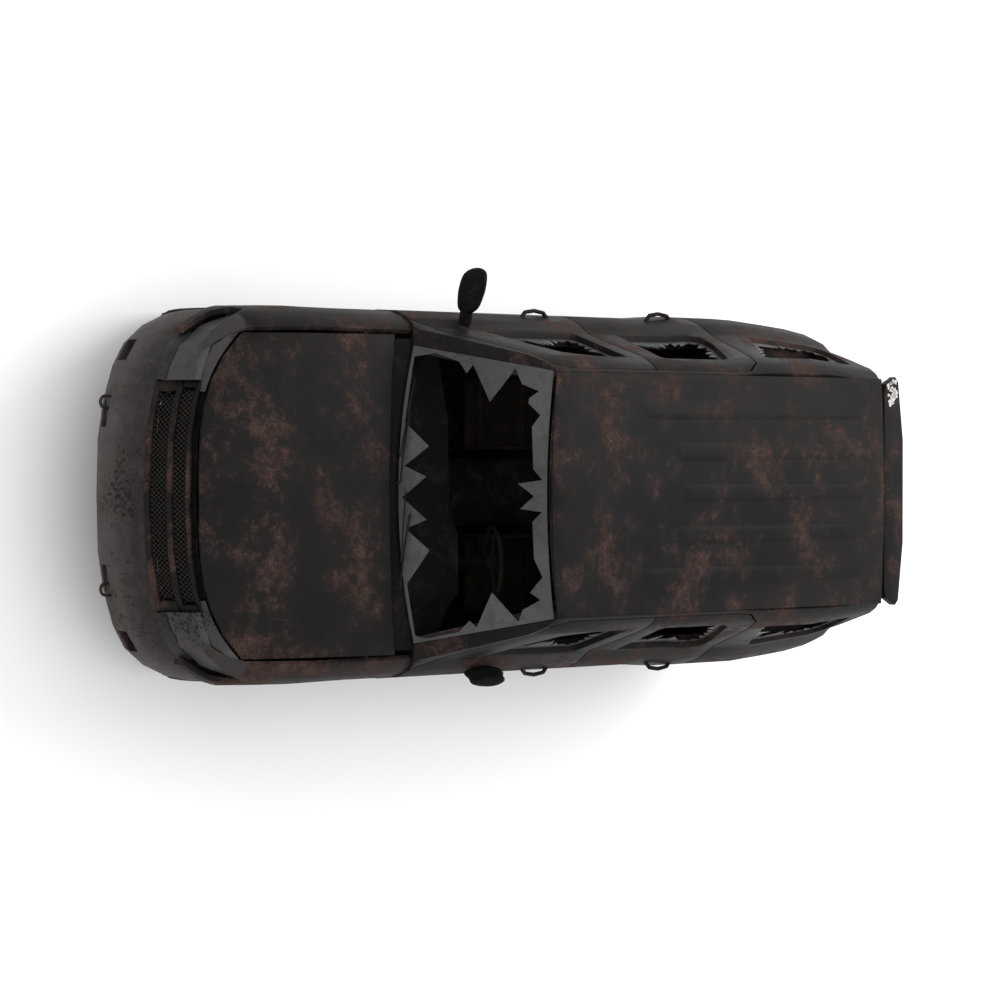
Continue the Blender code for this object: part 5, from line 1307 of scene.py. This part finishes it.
def seat_skeleton(middle, half, front, rear, low, top, back, head, rows):
    """Tubes, pan and springs of one seat; back is the place (Y, Z) of the backrest's top."""
    back_y, back_z = back
    left = middle - half
    right = middle + half
    tubes = []
    for z in (low + 0.012, top - 0.012):
        corners = [(left, front, z), (right, front, z), (right, rear, z), (left, rear, z)]
        tubes.append(corners + corners[:1])
    for x in (left, right):
        for y in (front, rear):
            tubes.append([(x, y, low + 0.012), (x, y, top - 0.012)])
    shoulder = min(0.05, half * 0.25)
    tubes.append([(left, rear, top - 0.02), (left + 0.005, back_y - 0.02, back_z - 0.07),
                  (left + shoulder, back_y, back_z - 0.012), (right - shoulder, back_y, back_z - 0.012),
                  (right - 0.005, back_y - 0.02, back_z - 0.07), (right, rear, top - 0.02)])
    springs = []
    for k in range(rows):
        x = left + 2 * half * (k + 0.5) / rows
        springs.append(zigzag((x, front, top - 0.014), (x, rear, top - 0.014), (0.016, 0.0, 0.0), 26))
    for k in range(BACK_SPRINGS):
        share = (k + 0.7) / (BACK_SPRINGS + 0.6)
        y = rear + (back_y - rear) * share
        z = top + (back_z - top) * share
        sway = (0.0, 0.004, 0.016)
        springs.append(zigzag((left + 0.006, y, z), (right - 0.006, y, z), sway, int(half * 120)))
    if head is not None:
        for x in (middle - 0.06, middle + 0.06):
            tubes.append([(x, back_y, back_z - 0.012), (x, back_y + 0.01, head - 0.03)])
        loop = ((-0.11, -0.07), (-0.10, -0.012), (0.10, -0.012), (0.11, -0.07), (-0.11, -0.07))
        tubes.append([(middle + x, back_y + 0.01, head + z) for x, z in loop])
    pieces = [bent_wires(tubes, TUBE_RADIUS, 3), bent_wires(springs, SPRING_RADIUS, 0)]
    pieces.append(bar((left, front, low + PAN_Z[0]), (right, rear, low + PAN_Z[1]), 0.0))
    for x in (left, right - 0.006):
        pieces.append(bar((x, front + 0.02, low + 0.02), (x + 0.006, rear + 0.02, top - 0.02), 0.0))
    return pieces


def seat_rails(middle, front, rear, low, floor_z):
    rails = []
    for shift in (-0.18, 0.18):
        x = middle + shift
        rails.append(bar((x - 0.015, front, floor_z), (x + 0.015, rear, low + 0.006), 0.003))
    return rails


for side, hand in SIDES.items():
    pieces = seat_skeleton(hand * SEAT_X, **SEAT)
    pieces += seat_rails(hand * SEAT_X, -0.100, 0.320, SEAT["low"], 0.514)
    seat = join_all(pieces)
    hand_over(seat, f"seat_skeleton_{side}", ROOT, burnt_spring)
    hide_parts(f"seat_{side}")
bench = join_all(seat_skeleton(0.0, **BENCH))
hand_over(bench, "bench_skeleton", ROOT, burnt_spring)
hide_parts("rear_seat")
print("rows of springs:", 2 * SEAT["rows"] + BENCH["rows"])

# %% [markdown]
# ## Under the car
#
# Seen from below, the floor is stiffened by pressed ribs, a plate guards the engine, and
# a hitch receiver sits in the recess of the rear bumper. These are cubes with rolled
# edges; the receiver is four of them round a square hole. The thin pipes for fuel and
# brakes are bent wires that keep clear of the frame.

# %% Under the car
RIB_HIGH_Z = 0.5006
RIB_ROLL = 0.003
CROSS_RIB_TURN = math.radians(38.0)
GUARD_LEAN = math.radians(10.2)
PIPE_RADIUS = 0.0050
PIPES = (
    ((0.365, -1.20, 0.452), (0.370, -0.40, 0.425), (0.372, 0.70, 0.425), (0.36, 1.00, 0.560),
     (0.36, 1.60, 0.585)),
    ((0.350, -1.20, 0.462), (0.352, -0.40, 0.437), (0.354, 0.70, 0.437), (0.34, 1.00, 0.572),
     (0.34, 1.60, 0.597)),
)


def floor_rib(low, high, turn=0.0):
    """One pressed rib, turned about its own middle where asked."""
    rib = bar(low, high, RIB_ROLL)
    rib.rotation_euler = (0.0, 0.0, turn)
    bpy.ops.object.transform_apply(location=True, rotation=True, scale=True)
    return rib


floor_ribs = []
for hand in SIDES.values():
    for k in range(14):
        y = -0.78 + 0.11 * k
        floor_ribs.append(floor_rib((hand * 0.51, y, 0.493), (hand * 0.84, y + 0.055, RIB_HIGH_Z)))
    for k in range(4):
        y = 1.82 + 0.13 * k
        floor_ribs.append(floor_rib((hand * 0.08, y, 0.613), (hand * 0.36, y + 0.06, 0.6206)))
for hand in SIDES.values():
    for k in range(6):
        y = -0.72 + 0.24 * k
        floor_ribs.append(floor_rib((hand * 0.53, y, 0.488), (hand * 0.80, y + 0.03, RIB_HIGH_Z),
                                    hand * CROSS_RIB_TURN))
hand_over(join_all(floor_ribs), "floor_ribs", ROOT, floor_soot)
guard = bar((-0.33, -2.340, 0.438), (0.33, -1.840, 0.444), 0.002)
guard.rotation_euler = (-GUARD_LEAN, 0.0, 0.0)
hand_over(guard, "engine_guard", ROOT, dull_steel)
receiver = join_all([
    bar((-0.036, 2.430, 0.494), (0.036, 2.552, 0.501)),
    bar((-0.036, 2.430, 0.559), (0.036, 2.552, 0.566)),
    bar((-0.036, 2.430, 0.500), (-0.029, 2.552, 0.560)),
    bar((0.029, 2.430, 0.500), (0.036, 2.552, 0.560)),
])
hand_over(receiver, "hitch_receiver", ROOT, dull_steel)
pipes = bent_wires(PIPES, PIPE_RADIUS)
hand_over(pipes, "brake_and_fuel_lines", ROOT, rusty_wire, 50.0)
print("floor ribs:", len(floor_ribs))

# %% [markdown]
# ## Flakes of pale paint
#
# At the rear right corner of the roof some paint survived as pale flakes, and beside the
# right door handles it is scratched down to bare metal. A flake is a circle with few
# corners and uneven radii. A shrinkwrap drops the whole sheet of flakes onto the panel
# below, and a hair of thickness keeps them from flickering against it.

# %% Pale flakes
LAY_OFF = 0.0010
FLAKE_COUNT = 26
FLAKE_CENTRE = (-0.560, 2.215, 1.960)
FLAKE_SPREAD = (0.085, 0.045, 0.0)
FLAKE_RADII = (0.004, 0.020)
FLAKE_SEED = 3
SCRATCH_STEPS = 24
SCRATCHES = (
    # name, packed panel, body to ride on, axis of the drop, is the drop forwards, ends, width
    ("front", "front_door_R", "front_door_R", "X", True,
     (-1.200, 0.215, 1.022), (-1.200, 0.365, 1.026), 0.007),
    ("rear", "rear_door_R", "rear_door_R", "X", True,
     (-1.200, 0.750, 1.028), (-1.200, 0.880, 1.024), 0.007),
    ("bumper", "rear_bumper", ROOT, "Y", False,
     (-0.480, 2.700, 0.618), (-0.250, 2.700, 0.624), 0.006),
)


def scatter_flakes(count, centre, spread, size, seed):
    draw = random.Random(seed)
    flakes = []
    for _ in range(count):
        clean_start()
        place = [c + draw.gauss(0.0, 0.45) * r for c, r in zip(centre, spread)]
        bpy.ops.mesh.primitive_circle_add(vertices=9, fill_type="NGON",
                                          location=(place[0] + CAR_X, place[1], place[2]))
        flake = bpy.context.object
        for vert in flake.data.vertices:
            vert.co *= draw.uniform(*size)
        flakes.append(flake)
    sheet = join_all(flakes)
    bpy.ops.object.transform_apply(location=True, rotation=True, scale=True)
    return sheet


def lay_on(sheet, panel, axis, forwards, name, body):
    """Drop a flat sheet along an axis onto a panel and give it a hair of thickness.

    A point that misses the panel on its way is caught by the second wrap.
    """
    settings = {"target": panel, "wrap_method": "PROJECT", "offset": LAY_OFF,
                "use_negative_direction": not forwards, "use_positive_direction": forwards,
                "use_project_" + axis.lower(): True}
    finish_with(sheet, "SHRINKWRAP", **settings)
    finish_with(sheet, "SHRINKWRAP", target=panel, wrap_method="NEAREST_SURFACEPOINT",
                wrap_mode="ABOVE_SURFACE", offset=LAY_OFF)
    finish_with(sheet, "SOLIDIFY", thickness=0.0006, offset=0.0)
    hand_over(sheet, name, body, pale_flake)


def scratch(start, stop, width):
    """A thin strip between two points, pointed at both ends, wobbling a little."""
    start = Vector(start)
    stop = Vector(stop)
    along = stop - start
    across = along.cross(Vector((1.0, 0.0, 0.0)))
    if across.length < along.length * 0.5:
        across = Vector((0.0, 0.0, 1.0))
    across = across.normalized() * width / 2
    steps = range(SCRATCH_STEPS + 1)
    centre = [start + along * k / SCRATCH_STEPS + across * 0.8 * math.sin(k * 1.7) for k in steps]
    taper = [math.sin(math.pi * (k + 0.15) / (SCRATCH_STEPS + 0.3)) for k in steps]
    rows = [[tuple(c + across * t * way) for c, t in zip(centre, taper)] for way in (-1, 1)]
    return lay_rows(rows, "scratch")


flakes = scatter_flakes(FLAKE_COUNT, FLAKE_CENTRE, FLAKE_SPREAD, FLAKE_RADII, FLAKE_SEED)
lay_on(flakes, dressed["liftgate"], "Z", False, "pale_flakes_roof", "liftgate")
for name, node, body, axis, forwards, start, stop, width in SCRATCHES:
    lay_on(scratch(start, stop, width), dressed[node], axis, forwards, f"pale_scratch_{name}", body)
print("flakes:", FLAKE_COUNT, "scratches:", len(SCRATCHES))
